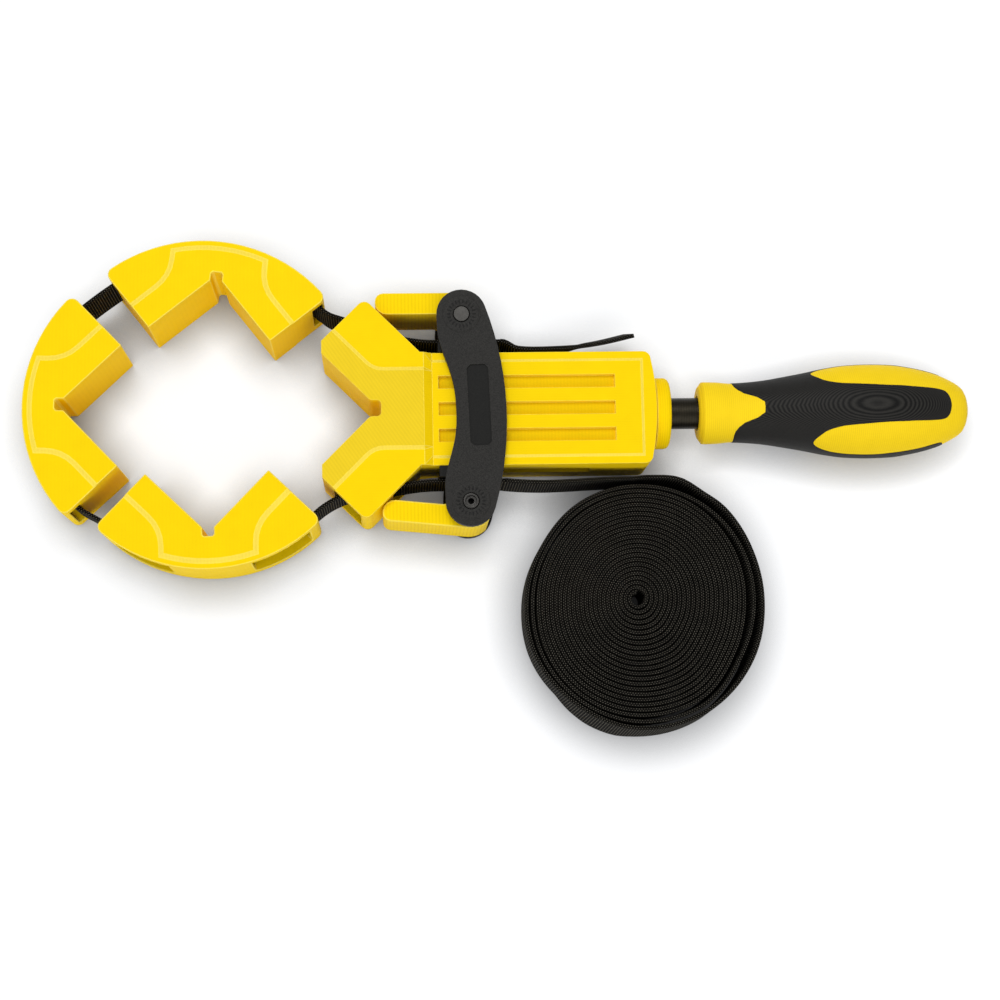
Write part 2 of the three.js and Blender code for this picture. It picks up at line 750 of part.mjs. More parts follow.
function camPin(name, hollow) {
  const high = yokeTop + pinProud;
  const pin = post(pinRadius, pinProud, high);
  if (!hollow) return part(name, pin, steel);
  const bore = post(pinBoreRadius, high - pinBoreDepth, high + cutOverrun, 0, 0, smallSides);
  const dish = post(pinDishRadius, high - pinDishDepth, high + cutOverrun, 0, 0, smallSides);
  return part(name, cut(pin, bore, dish), steel);
}

function pinSpacer(name, low, high) {
  const bore = post(pinRadius + fitGap, low - cutOverrun, high + cutOverrun);
  return part(name, cut(post(spacerRadius, low, high), bore), steel);
}

// Cam lever, drawn about its pin, with its grip towards -X and its cam towards -Y
function leverOutline() {
  const innerY = leverOuterRadius - leverThickness;
  const tipX = -leverReach;
  const outer = leverTipOuterCorner;
  const inner = leverTipInnerCorner;
  const flatTop = Math.acos(camFlat / leverOuterRadius);
  const flatLow = -Math.acos(camFlat / camRadius);
  const rootX = -Math.sqrt(camRadius ** 2 - innerY ** 2);
  const rootAngle = Math.atan2(innerY, rootX) - fullTurn;
  const rootShare = leverRootFillet / camRadius;
  const rootStart = arcPoints(0, 0, camRadius, rootAngle + rootShare, rootAngle + rootShare, 1)[0];
  return [
    ...arcPoints(0, 0, leverOuterRadius, quarterTurn, flatTop, yokeSteps / 2),
    ...arcPoints(0, 0, camRadius, flatLow, rootAngle + rootShare, yokeSteps),
    ...bendPoints(rootStart, [rootX, innerY], [rootX - leverRootFillet, innerY], filletSteps).slice(1),
    ...arcPoints(tipX + inner, innerY + inner, inner, 3 * quarterTurn, 2 * quarterTurn, filletSteps),
    ...arcPoints(tipX + outer, leverOuterRadius - outer, outer, 2 * quarterTurn, quarterTurn, filletSteps),
  ];
}

function camLever(name, side) {
  const outline = leverOutline().map(([x, y]) => [x, side * y]);
  const lever = prism(side > 0 ? outline.reverse() : outline, leverLow, leverHigh);
  return part(name, cut(lever, post(pinRadius + fitGap, leverLow - cutOverrun, leverHigh + cutOverrun)), yellow);
}

// Handle: a hard core with a soft grip let into it

const handleCurve = new THREE.SplineCurve(handleProfileShares.map(([along, radius]) => {
  return new THREE.Vector2(handleStart + along * handleLength, radius * handleSwell);
}));
const handleProfile = handleCurve.getPoints(handleProfileSteps).map((point) => [point.x, point.y]);
const handleEnd = handleStart + handleLength;

function gripSleeve(grow) {
  const outer = handleProfile.filter(([along]) => along > handleStart && along < handleEnd - gripThickness);
  const inner = outer.map(([along, radius]) => [along, radius - gripThickness - grow]);
  const skin = grow > 0 ? cutOverrun : 0;
  return turned([...inner, ...outer.map(([along, radius]) => [along, radius + skin]).reverse()]);
}

// The outline of a tongue seen from its own side: full width at the neck, then as in the shares
function tongueOutline(shares, grow) {
  const wide = handleSwell + cutOverrun;
  const flank = shares.map(([along, across]) => {
    return [handleStart + along * handleLength + grow, across * handleSwell + (across > 0 ? grow : 0)];
  });
  const upper = [[gripStart - grow, wide], [flank[0][0], wide], ...flank];
  return [...upper, ...mirroredInY(upper).slice(1)].reverse();
}

function ferruleTongue(grow) {
  const flank = ferruleTongueShares.map(([along, across]) => {
    return [handleStart + along * handleLength - grow, across * handleSwell - (across > 0 ? grow : 0)];
  });
  const upper = [[gripStart - handleSwell, flank[0][1]], ...flank];
  const outline = [...upper, ...mirroredInY(upper).slice(1)].reverse();
  return prism(outline, -handleSwell - cutOverrun, handleSwell + cutOverrun);
}

function gripZone(grow) {
  const reach = handleSwell + cutOverrun;
  const top = prism(tongueOutline(topTongueShares, grow), -reach, reach);
  const side = new THREE.Shape(tongueOutline(sideTongueShares, grow).map(([x, y]) => new THREE.Vector2(x, y)));
  const sideGeometry = new THREE.ExtrudeGeometry(side, { depth: 2 * reach, bevelEnabled: false });
  sideGeometry.translate(0, 0, -reach);
  sideGeometry.rotateX(quarterTurn);
  return cut(join(top, solidOf(sideGeometry)), ferruleTongue(grow));
}

function handleGrip() {
  return part('handle_grip', gripSleeve(0).intersect(gripZone(0)), darkRubber);
}

function handleCore() {
  const whole = turned([[handleStart, 0], ...handleProfile, [handleEnd, 0]]);
  const bore = rod(shankRadius + fitGap, handleStart - cutOverrun, shankEnd + fitGap);
  const pocket = gripSleeve(fitGap).intersect(gripZone(fitGap));
  return part('handle_core', cut(whole, pocket, bore), yellow);
}

// Band: a flat ribbon on edge that follows points along its middle

function smoothRoute(points) {
  const curve = new THREE.CatmullRomCurve3(points.map(([x, y]) => new THREE.Vector3(x, y, 0)), false, 'centripetal');
  const steps = Math.ceil(curve.getLength() / bandStep);
  return curve.getSpacedPoints(steps);
}

function besideBody(route, side) {
  return smoothRoute(route.map(([along, out]) => [along, side * (bandRunY + out)]));
}

function ribbon(name, points, lowAt) {
  const positions = [];
  const faces = [];
  const last = points.length - 1;
  points.forEach((point, i) => {
    const along = points[Math.min(i + 1, last)].clone().sub(points[Math.max(i - 1, 0)]).normalize();
    const sideX = (-along.y * bandThickness) / 2;
    const sideY = (along.x * bandThickness) / 2;
    const low = lowAt(i / last);
    positions.push(point.x + sideX, point.y + sideY, low);
    positions.push(point.x - sideX, point.y - sideY, low);
    positions.push(point.x - sideX, point.y - sideY, low + bandWidth);
    positions.push(point.x + sideX, point.y + sideY, low + bandWidth);
  });
  for (let i = 0; i < last; i += 1) {
    for (let k = 0; k < 4; k += 1) {
      const here = 4 * i + k;
      const next = 4 * i + ((k + 1) % 4);
      faces.push(here, here + 4, next + 4, here, next + 4, next);
    }
  }
  const end = 4 * last;
  faces.push(0, 1, 2, 0, 2, 3, end, end + 2, end + 1, end, end + 3, end + 2);
  const geometry = new THREE.BufferGeometry();
  geometry.setAttribute('position', new THREE.Float32BufferAttribute(positions, 3));
  geometry.setIndex(faces);
  return part(name, solidOf(geometry), webbing);
}

const bandLow = bandMidHeight - bandWidth / 2;

// The middle of the band where it lies round one jaw
function jawRoute(x, y, turn, startRadius, endRadius) {
  const middle = radians(turn) - quarterTurn;
  const reach = jawEndAngle - jawTravelLength / jawArcRadius;
  const points = [];
  for (let i = 0; i <= jawArcSteps / 2; i += 1) {
    const share = i / (jawArcSteps / 2);
    const angle = middle - reach + 2 * reach * share;
    const radius = startRadius + (endRadius - startRadius) * share;
    points.push([x + radius * Math.cos(angle), y + radius * Math.sin(angle)]);
  }
  return points;
}

function strapLoop() {
  const middle = (jawSeatRadius + jawSlotRadius) / 2;
  const outward = middle + fitGap;
  const inward = middle - bandThickness / 2;
  return ribbon('strap_loop', smoothRoute([
    ...upperLoopEnd,
    ...jawRoute(topJawX, topJawY, topJawTurn, outward, outward),
    ...jawRoute(leftJawX, leftJawY, leftJawTurn, middle, inward),
    lowerLeftBend,
    ...jawRoute(bottomJawX, bottomJawY, bottomJawTurn, outward, outward),
    ...lowerLoopEnd,
  ]), () => bandLow);
}

function coilSlackAt(turn) {
  const after = Math.max(1, coilSlackShares.findIndex(([place]) => place >= turn));
  const [fromTurn, fromShare] = coilSlackShares[after - 1];
  const [toTurn, toShare] = coilSlackShares[after];
  const share = (turn - fromTurn) / (toTurn - fromTurn);
  const eased = share * share * (3 - 2 * share);
  return coilSlack * (fromShare + (toShare - fromShare) * eased);
}

function coilPoints() {
  const points = [];
  const steps = coilTurns * coilStepsPerTurn;
  for (let i = 0; i <= steps; i += 1) {
    const turn = i / coilStepsPerTurn;
    const radius = coilRadius - coilPitch * turn + coilSlackAt(turn);
    const angle = fullTurn * turn;
    points.push(new THREE.Vector3(coilX + radius * Math.sin(angle), coilY + radius * Math.cos(angle), 0));
  }
  return points;
}

// Least clear space between the coil's turns, measured from each point to the next turn's chords
function leastCoilGap(points) {
  let least = Infinity;
  const nearest = new THREE.Vector3();
  const chord = new THREE.Line3();
  points.forEach((point, i) => {
    const from = i + coilStepsPerTurn / 2;
    const to = Math.min(i + 2 * coilStepsPerTurn, points.length - 1);
    for (let j = from; j < to; j += 1) {
      chord.set(points[j], points[j + 1]);
      chord.closestPointToPoint(point, true, nearest);
      least = Math.min(least, nearest.distanceTo(point) - bandThickness);
    }
  });
  return least;
}

function routeLength(points) {
  return points.slice(1).reduce((sum, point, i) => sum + point.distanceTo(points[i]), 0);
}

const coilRoute = coilPoints();
console.log(`least gap between the coil's turns: ${leastCoilGap(coilRoute).toFixed(2)} mm`);
console.log(`band in the coil: ${(routeLength(coilRoute)).toFixed(0)} mm`);

// Assembly

const clamp = new THREE.Group();

clamp.add(
  jaw('jaw_top', topJawX, topJawY, topJawTurn),
  jaw('jaw_left', leftJawX, leftJawY, leftJawTurn),
  jaw('jaw_bottom', bottomJawX, bottomJawY, bottomJawTurn),
  upperShell(),
  lowerShell(),
  ...assemblyScrews.map(([x, y], i) => assemblyScrew(i + 1, x, y)),
);

const screwAxis = new THREE.Group();
screwAxis.position.z = screwHeight;
const handleParts = new THREE.Group();
handleParts.rotation.x = radians(handleTurn);
handleParts.add(screwSpindle(), handleCore(), handleGrip());
screwAxis.add(
  endCollar(),
  thrustWasher('thrust_washer_front', frontWasherStart, threadRadius),
  thrustWasher('thrust_washer_rear', rearWasherStart, shankRadius),
  handleParts,
);
clamp.add(screwAxis);

const carriage = new THREE.Group();
carriage.position.x = yokeX;
const nut = crossheadNut();
nut.position.z = screwHeight;
const yoke = new THREE.Group();
yoke.rotation.z = radians(yokeSkew);
yoke.add(
  part('yoke_upper_plate', cut(yokePlate(yokeHighPlateLow, -1), plaqueRecess()), darkPlastic),
  part('yoke_lower_plate', yokePlate(0, 1), darkPlastic),
);
[1, -1].forEach((side) => {
  const label = side > 0 ? 'upper' : 'lower';
  const pinGroup = new THREE.Group();
  pinGroup.position.y = side * pinY;
  const lever = camLever(`cam_lever_${label}`, side);
  lever.rotation.z = side > 0 ? -radians(yokeSkew) : -radians(lowerLeverTurn + yokeSkew);
  pinGroup.add(
    camPin(`cam_pin_${label}`, side < 0),
    pinSpacer(`pin_spacer_${label}_top`, leverHigh + fitGap, yokeHighPlateLow - fitGap),
    pinSpacer(`pin_spacer_${label}_bottom`, yokeLowPlateTop + fitGap, leverLow - fitGap),
    lever,
  );
  yoke.add(pinGroup);
});
carriage.add(nut, anvil('anvil_upper', 1), anvil('anvil_lower', -1), yoke);
clamp.add(carriage);

clamp.add(
  strapLoop(),
  ribbon('strap_run_upper', besideBody(upperRunRoute, 1), () => bandLow),
  ribbon('strap_run_lower', besideBody(lowerRunRoute, -1), () => bandLow),
  ribbon('strap_tail', besideBody(tailRoute, 1), () => bandLow),
  ribbon('strap_lead', besideBody(leadRoute, -1), (share) => bandLow * (1 - share) ** 2 * (1 + 2 * share)),
  ribbon('strap_coil', coilRoute, () => 0),
);

export default clamp;
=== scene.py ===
import math

import bmesh
import bpy
from bpy.props import FloatProperty, FloatVectorProperty, IntProperty, PointerProperty
from mathutils import Matrix, Vector


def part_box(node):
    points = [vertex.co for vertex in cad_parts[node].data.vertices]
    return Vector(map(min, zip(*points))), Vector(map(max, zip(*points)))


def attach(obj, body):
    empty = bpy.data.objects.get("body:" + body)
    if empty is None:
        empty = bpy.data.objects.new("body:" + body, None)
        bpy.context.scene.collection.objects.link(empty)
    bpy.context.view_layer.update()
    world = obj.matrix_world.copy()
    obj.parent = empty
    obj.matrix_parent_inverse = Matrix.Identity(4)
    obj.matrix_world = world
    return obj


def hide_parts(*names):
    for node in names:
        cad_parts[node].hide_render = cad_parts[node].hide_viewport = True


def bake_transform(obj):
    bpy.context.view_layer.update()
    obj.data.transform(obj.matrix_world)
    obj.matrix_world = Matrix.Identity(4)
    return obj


bl_info = {
    "name": "Band clamp",
    "version": (1, 0, 0),
    "blender": (4, 5, 0),
    "location": "View3D > Sidebar > Band clamp",
    "description": "Finishes the solids of a band clamp, winds its webbing band and sets up its stage",
    "category": "Add Mesh",
}

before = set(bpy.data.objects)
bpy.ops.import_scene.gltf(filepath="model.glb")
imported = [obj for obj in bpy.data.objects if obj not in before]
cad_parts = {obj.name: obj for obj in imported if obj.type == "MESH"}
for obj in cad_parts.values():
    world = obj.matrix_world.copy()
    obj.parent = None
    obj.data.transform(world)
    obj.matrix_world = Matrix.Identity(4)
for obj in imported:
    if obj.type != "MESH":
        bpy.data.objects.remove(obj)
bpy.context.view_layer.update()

MM = 0.001
SCREW_HEIGHT = 19.75
BAND_WIDTH = 25.4
BAND_LOW = 6.8
BAND_RUN_Y = 27.25

# How close a corner has to lie to its place to be picked, and to another one to be welded to it, in
# a new piece and in a copy of a solid
NEAR = 0.1
WELD = 0.004
SOLID_WELD = 0.002

# In degrees: the bend up to which faces of a solid count as one, and from which an edge is rounded
FLAT_BEND = 0.4
SHARP_BEND = 28

# The jaws: their height, and the depth and width of the slope round their raised panels
JAW_HEIGHT = 38
JAW_PANEL_RISE = 0.9
JAW_PANEL_SLOPE = 1.2

# The head and body: levels from the screw's height, and the width of the slopes between them
HEAD_PANEL_LEVEL = 19.25
HEAD_LEVEL = 18.35
HEAD_PANEL_SLOPE = 1.2
BODY_PANEL_LEVEL = 16.25
BODY_LEVEL = 15.75
BODY_PANEL_SLOPE = 0.8
GROOVE_LOWEST = 13
GROOVE_HIGHEST = 15.5
GROOVES_HALF = 14

# The shoulder behind the head, and the relief in the corner of its V
SHOULDER_X = 9.2
SHOULDER_RUN = 3.2
RELIEF_HALF = 3.1
RELIEF_BACK_X = -7.2
RELIEF_BACK_RADIUS = 1.6
RELIEF_MOUTH_X = -11.4
RELIEF_MOUTH_RADIUS = 1

# The recess in the yoke: how far below the plate's top its floor may lie
RECESS_LEAST = 0.45
RECESS_MOST = 0.8

# The boss round each pin, as (out from the pin, up from the plate), and the ticks on it
BOSS_SECTION = [(3.25, -0.05), (3.25, 0.1), (3.4, 0.16), (6.9, 0.16), (7.3, 0.08), (7.5, -0.05)]
BOSS_SIDES = 72
TICK_COUNT = 22
TICK_SIZE = (1.3, 0.5, 0.16)
TICK_OUT = 4.9
TICK_UP = 0.17

# The camera: the width of its sensor in millimetres, and how near and how far it sees in metres
SENSOR_WIDTH = 36
CLIP_START, CLIP_END = 0.01, 20

# The stage, in metres: how far the floor lies below the clamp's underside, where the lamps stand from
# the point that they light, and how wide they are
FLOOR_DROP = 0.00005
LIT_POINT = (0.03, -0.03, 0.02)
KEY_PLACE, KEY_SIZE = (-0.16, 0.55, 1.2), 0.7
FILL_PLACE, FILL_SIZE = (0.1, -1.0, 0.75), 1.2

# The paper of the floor: what lights the clamp, what is seen, and how far that is lifted to white. What is
# seen is a little bluish, painted against the yellow light that the clamp throws on it. The lift fades
# within PAPER_SHADOW millimetres of the clamp, which is a painted contact shadow.
PAPER = (243, 243, 243)
PAPER_SEEN = (140, 142, 146)
PAPER_LIFT = 0.8
PAPER_LIFT_POWER = 1.5
PAPER_SHADOW = 17


def paint(red, green, blue):
    """A colour as the eye reads it, from 0 to 255, as the shader's linear colour."""
    def linear(level):
        share = level / 255
        return share / 12.92 if share <= 0.04045 else ((share + 0.055) / 1.055) ** 2.4
    return tuple(linear(level) for level in (red, green, blue))


def colour(name, description, red, green, blue):
    return FloatVectorProperty(
        name=name, description=description, default=paint(red, green, blue),
        size=3, min=0, max=1, subtype="COLOR",
    )


def length(name, description, millimetres):
    return FloatProperty(
        name=name, description=description, default=millimetres * MM, min=0,
        precision=5, unit="LENGTH", subtype="DISTANCE",
    )


class ClampColours(bpy.types.PropertyGroup):
    yellow: colour("Yellow", "Yellow mouldings of the jaws, head, body and levers", 254, 216, 12)
    # Paler yellow on the rounded edges and on the slopes round the panels: a painted highlight
    yellow_rim_highlight: colour("Yellow rims", "Worked edges of the yellow mouldings", 255, 228, 84)
    yellow_panel: colour("Yellow panel", "Raised panel on the head", 240, 207, 40)
    yellow_handle: colour("Handle yellow", "Hard core of the handle", 254, 217, 34)
    yellow_groove: colour("Yellow grooves", "Floors of the grooves in the body", 240, 203, 12)
    dark: colour("Dark plastic", "Yoke plates and anvils", 38, 37, 35)
    # Lighter dark on the rounded edges of the yoke plates: a painted highlight
    dark_rim_highlight: colour("Dark rims", "Worked edges of the yoke plates", 50, 49, 46)
    plaque: colour("Plaque", "Floor of the recess in the yoke", 17, 17, 15)
    grip: colour("Grip", "Soft sleeve of the handle", 29, 28, 26)
    band_dark: colour("Band, between threads", "Gaps in the webbing's weave", 7, 6, 5)
    band_light: colour("Band, threads", "Tops of the webbing's threads", 150, 145, 132)
    steel: colour("Steel", "Cam pins, spacers, washers and screws", 60, 59, 57)
    black_steel: colour("Black steel", "Screw spindle", 46, 43, 36)
    nut: colour("Nut", "Crosshead nut inside the body", 150, 150, 146)


class ClampEdges(bpy.types.PropertyGroup):
    jaws: length("Jaws", "Rounding on the edges of the corner jaws", 0.55)
    body: length("Head and body", "Rounding on the edges of the head and body", 0.6)
    collar: length("Collar", "Rounding on the edges of the end collar", 0.4)
    yoke: length("Yoke", "Rounding on the edges of the yoke plates", 0.5)
    levers: length("Levers", "Rounding on the edges of the cam levers", 0.7)
    metal: length("Metal pieces", "Broken edges of pins, washers, screws and nut", 0.2)
    grip: length("Grip", "Rounding on the lips of the soft grip", 0.25)


class ClampBand(bpy.types.PropertyGroup):
    thickness: length("Thickness", "Thickness of the webbing in the clamp", 1.3)
    coil_thickness: length("Thickness in the coil", "Thickness of the webbing where it is wound", 1.56)
    step: length("Step", "Spacing of the cross-sections along the band", 1.5)
    thread_pitch: length("Thread pitch", "Spacing of the threads along the band", 1.05)
    thread_row: length("Thread row", "Width of one row of threads", 0.78)
    tail_lean: length("Tail lean", "How far the tail's lower edge stands out at its end", 5.6)


class ClampHandle(bpy.types.PropertyGroup):
    start: length("Start", "Where the handle starts on the screw", 116.4)
    end: length("End", "Where the handle ends", 223.7)
    swell: length("Swell radius", "Largest radius of the handle", 18.4)
    grip_rise: length("Grip rise", "How far the soft grip stands above the hard core", 0.12)
    grip_depth: length("Grip depth", "Thickness of the soft grip", 1.4)
    sides: IntProperty(name="Sides", description="Facets round the handle", default=96, min=24)
    turn: FloatProperty(
        name="Turn", description="How far the handle is turned about the screw",
        default=math.radians(-0.5), subtype="ANGLE",
    )


class ClampStage(bpy.types.PropertyGroup):
    floor_size: length("Floor size", "Side of the square floor", 6000)
    lens: FloatProperty(name="Lens", description="Focal length in millimetres", default=76.3, min=10)
    camera_place: FloatVectorProperty(
        name="Camera place", description="Where the camera stands", size=3, subtype="XYZ",
        unit="LENGTH", default=(-0.00196, -0.14806, 0.83518),
    )
    camera_aim: FloatVectorProperty(
        name="Camera aim", description="The point that the camera looks at", size=3, subtype="XYZ",
        unit="LENGTH", default=(0.03839, -0.03336, 0.02),
    )
    camera_roll: FloatProperty(
        name="Camera roll", description="Turn of the camera about its line of sight",
        default=math.radians(-1.146), subtype="ANGLE",
    )
    key_power: FloatProperty(name="Key light", description="Power of the main lamp", default=7.4, min=0)
    fill_power: FloatProperty(
        name="Fill light", description="Power of the second lamp", default=5.2, min=0)
    room_light: FloatProperty(
        name="Room light", description="Strength of the even light", default=0.5, min=0)


# Shaders

class Finish:
    """A material, with short ways to add and link its nodes."""

    def __init__(self, name, roughness, metallic=0.0, specular=0.5):
        self.material = bpy.data.materials.new(name)
        self.material.use_nodes = True
        self.tree = self.material.node_tree
        self.shader = self.tree.nodes["Principled BSDF"]
        self.shader.inputs["Roughness"].default_value = roughness
        self.shader.inputs["Metallic"].default_value = metallic
        self.shader.inputs["Specular IOR Level"].default_value = specular

    def add(self, kind, **settings):
        node = self.tree.nodes.new(kind)
        for name, value in settings.items():
            setattr(node, name, value)
        return node

    def feed(self, socket, value):
        """A link where value is a socket, and the socket's own value where it is a number or colour."""
        if isinstance(value, bpy.types.NodeSocket):
            self.tree.links.new(value, socket)
        else:
            socket.default_value = value

    def math(self, operation, first, second=0.0):
        node = self.add("ShaderNodeMath", operation=operation)
        self.feed(node.inputs[0], first)
        self.feed(node.inputs[1], second)
        return node.outputs[0]

    def place(self, turn=0.0):
        """Object coordinates in metres, turned about Z, as three sockets."""
        source = self.add("ShaderNodeTexCoord").outputs["Object"]
        mapping = self.add("ShaderNodeMapping")
        mapping.inputs["Rotation"].default_value = (0, 0, turn)
        self.feed(mapping.inputs["Vector"], source)
        split = self.add("ShaderNodeSeparateXYZ")
        self.feed(split.inputs[0], mapping.outputs[0])
        return split.outputs

    def ripple(self, along, pitch, phase=0.0):
        """Even lines across a direction, from 0 to 1."""
        angle = self.math("MULTIPLY", along, 2 * math.pi / pitch)
        wave = self.math("SINE", self.math("ADD", angle, phase))
        return self.math("ADD", self.math("MULTIPLY", wave, 0.5), 0.5)

    def noise(self, size, detail=3.0, roughness=0.55):
        """Soft noise whose spots are about that size, in metres."""
        node = self.add("ShaderNodeTexNoise")
        self.feed(node.inputs["Vector"], self.add("ShaderNodeTexCoord").outputs["Object"])
        node.inputs["Scale"].default_value = 1 / size
        node.inputs["Detail"].default_value = detail
        node.inputs["Roughness"].default_value = roughness
        return node.outputs["Fac"]

    def mix(self, share, first, second):
        node = self.add("ShaderNodeMix", data_type="RGBA")
        self.feed(node.inputs["Factor"], share)
        for socket, value in ((node.inputs[6], first), (node.inputs[7], second)):
            self.feed(socket, value if isinstance(value, bpy.types.NodeSocket) else (*value, 1))
        return node.outputs[2]

    def shade(self, base, share):
        """The base colour, lighter or darker by a share that is 0.5 where it stays."""
        node = self.add("ShaderNodeHueSaturation")
        node.inputs["Color"].default_value = (*base, 1)
        self.feed(node.inputs["Value"], self.math("MULTIPLY", share, 2.0))
        return node.outputs[0]

    def bump(self, height, distance, strength=1.0, under=None):
        node = self.add("ShaderNodeBump")
        node.inputs["Strength"].default_value = strength
        node.inputs["Distance"].default_value = distance
        self.feed(node.inputs["Height"], height)
        if under is not None:
            self.feed(node.inputs["Normal"], under)
        return node.outputs[0]

    def tint(self, base, *patterns):
        """The base colour, varied by patterns from 0 to 1, each with how strongly it shows."""
        total = None
        for pattern, strength in patterns:
            part = self.math("MULTIPLY", self.math("SUBTRACT", pattern, 0.5), strength)
            total = part if total is None else self.math("ADD", total, part)
        self.feed(self.shader.inputs["Base Color"], self.shade(base, self.math("ADD", total, 0.5)))

    def emboss(self, *patterns):
        """Patterns in relief, one over the other, each with its height and its strength."""
        normal = None
        for pattern, height, strength in patterns:
            normal = self.bump(pattern, height, strength, normal)
        self.feed(self.shader.inputs["Normal"], normal)


def moulded_plastic(name, base, turn=0.0, pitch=1.3 * MM, contrast=0.05, roughness=0.42):
    """Plastic with faint lines across its top faces and finer layers round its walls."""
    finish = Finish(name, roughness, specular=0.01)
    across, _, height = finish.place(turn)
    lines = finish.ripple(across, pitch)
    patches = finish.noise(7 * MM)
    specks = finish.noise(0.3 * MM, detail=2.0)
    layers = finish.ripple(height, 0.9 * MM)
    finish.tint(base, (lines, contrast), (patches, 0.05), (specks, 0.05))
    finish.emboss((lines, 0.04 * MM, 10 * contrast), (layers, 0.03 * MM, 0.3), (specks, 0.03 * MM, 0.5))
    return finish.material


def yoke_plastic(name, base):
    """Dark plastic with a fine speckle."""
    finish = Finish(name, 0.6, specular=0.2)
    specks = finish.noise(0.35 * MM, detail=2.0)
    coarse = finish.noise(0.8 * MM, detail=2.0)
    finish.tint(base, (specks, 1.5), (coarse, 0.5))
    finish.emboss((specks, 0.08 * MM, 0.7))
    return finish.material


def grip_rubber(name, base):
    """Soft rubber with contour lines at even heights."""
    finish = Finish(name, 0.62, specular=0.2)
    _, _, height = finish.place()
    contours = finish.ripple(height, 0.3 * MM)
    specks = finish.noise(0.4 * MM, detail=2.0)
    finish.tint(base, (contours, 0.9), (specks, 0.6))
    finish.emboss((contours, 0.05 * MM, 0.5), (specks, 0.04 * MM, 0.5))
    return finish.material


def metal(name, base, roughness, pitch=0.4 * MM):
    """Turned metal with fine tool lines and a few stains."""
    finish = Finish(name, roughness, metallic=1.0)
    along, _, _ = finish.place()
    lines = finish.ripple(along, pitch)
    stains = finish.noise(2.5 * MM)
    finish.tint(base, (lines, 0.12), (stains, 0.3))
    finish.emboss((lines, 0.03 * MM, 0.5))
    return finish.material


def webbing_weave(name, settings, colours):
    """Woven band: ribs across its flats, and rows of threads on its edges, shifted by turns."""
    finish = Finish(name, 0.9, specular=0.06)
    split = finish.add("ShaderNodeSeparateXYZ")
    finish.feed(split.inputs[0], finish.add("ShaderNodeUVMap", uv_map="Band").outputs[0])
    along, around = split.outputs[0], split.outputs[1]
    row = finish.math("DIVIDE", around, settings.thread_row)
    odd = finish.math("MODULO", finish.math("FLOOR", row), 2.0)
    on_edge = finish.math("LESS_THAN", finish.math("ABSOLUTE", around), 2 * settings.thread_row)
    shift = finish.math("MULTIPLY", finish.math("MULTIPLY", odd, on_edge), math.pi)
    threads = finish.math("POWER", finish.ripple(along, settings.thread_pitch, shift), 6.0)
    crown = finish.math("MULTIPLY", finish.math("PINGPONG", row, 0.5), 2.0)
    crown = finish.math("MAXIMUM", finish.math("POWER", crown, 3.0), finish.math("SUBTRACT", 0.3, on_edge))
    worn = finish.noise(3 * MM)
    thread = finish.math("MULTIPLY", threads, crown)
    share = finish.math("MULTIPLY", thread, finish.math("ADD", worn, 0.35))
    base = finish.mix(share, tuple(colours.band_dark), tuple(colours.band_light))
    finish.feed(finish.shader.inputs["Base Color"], base)
    finish.emboss((thread, 0.12 * MM, 0.9))
    return finish.material


finishes = {}


def finish_for(key):
    """The material of that name, made when it is first asked for."""
    if key in finishes:
        return finishes[key]
    colours = bpy.context.scene.clamp_colours
    yellow, rim = tuple(colours.yellow), tuple(colours.yellow_rim_highlight)
    makers = {
        "jaw_yellow": lambda: moulded_plastic("Jaw yellow", yellow, pitch=1.4 * MM, contrast=0.01),
        "body_yellow": lambda: moulded_plastic("Body yellow", yellow, math.pi / 2, 1.0 * MM, 0.012),
        "groove_yellow": lambda: moulded_plastic(
            "Groove yellow", tuple(colours.yellow_groove), contrast=0.02),
        "head_panel": lambda: moulded_plastic(
            "Head panel", tuple(colours.yellow_panel), math.radians(-35), 1.25 * MM, 0.03),
        "lever_yellow": lambda: moulded_plastic("Lever yellow", yellow, pitch=1.35 * MM, contrast=0.05),
        "collar_yellow": lambda: moulded_plastic("Collar yellow", yellow, pitch=0.9 * MM, contrast=0.05),
        # Painted highlight for the rounded edges and panel slopes of the yellow mouldings
        "yellow_rim_highlight": lambda: moulded_plastic("Yellow rim highlight", rim, contrast=0.02),
        "handle_yellow": lambda: moulded_plastic(
            "Handle yellow", tuple(colours.yellow_handle), pitch=0.8 * MM, contrast=0.05, roughness=0.35),
        "yoke_dark": lambda: yoke_plastic("Yoke dark", tuple(colours.dark)),
        # Painted highlight for the rounded edges of the yoke plates
        "yoke_rim_highlight": lambda: yoke_plastic("Yoke rim highlight", tuple(colours.dark_rim_highlight)),
        "plaque_dark": lambda: yoke_plastic("Plaque dark", tuple(colours.plaque)),
        "grip": lambda: grip_rubber("Grip rubber", tuple(colours.grip)),
        "steel": lambda: metal("Zinc plated steel", tuple(colours.steel), 0.38),
        "black_steel": lambda: metal("Black steel", tuple(colours.black_steel), 0.42, 1.0 * MM),
        "nut": lambda: metal("Die cast nut", tuple(colours.nut), 0.5),
        "webbing": lambda: webbing_weave("Webbing", bpy.context.scene.clamp_band, colours),
    }
    finishes[key] = makers[key]()
    return finishes[key]


# Modelling helpers

def deselect_all():
    active = bpy.context.view_layer.objects.active
    if active is not None and active.mode != "OBJECT":
        bpy.ops.object.mode_set(mode="OBJECT")
    bpy.ops.object.select_all(action="DESELECT")


def pick(piece):
    """Only this piece is selected, and it is the active one."""
    deselect_all()
    piece.select_set(True)
    bpy.context.view_layer.objects.active = piece


def open_mesh(piece, action="DESELECT"):
    pick(piece)
    bpy.ops.object.mode_set(mode="EDIT")
    bpy.ops.mesh.select_all(action=action)


def close_mesh():
    bpy.ops.object.mode_set(mode="OBJECT")


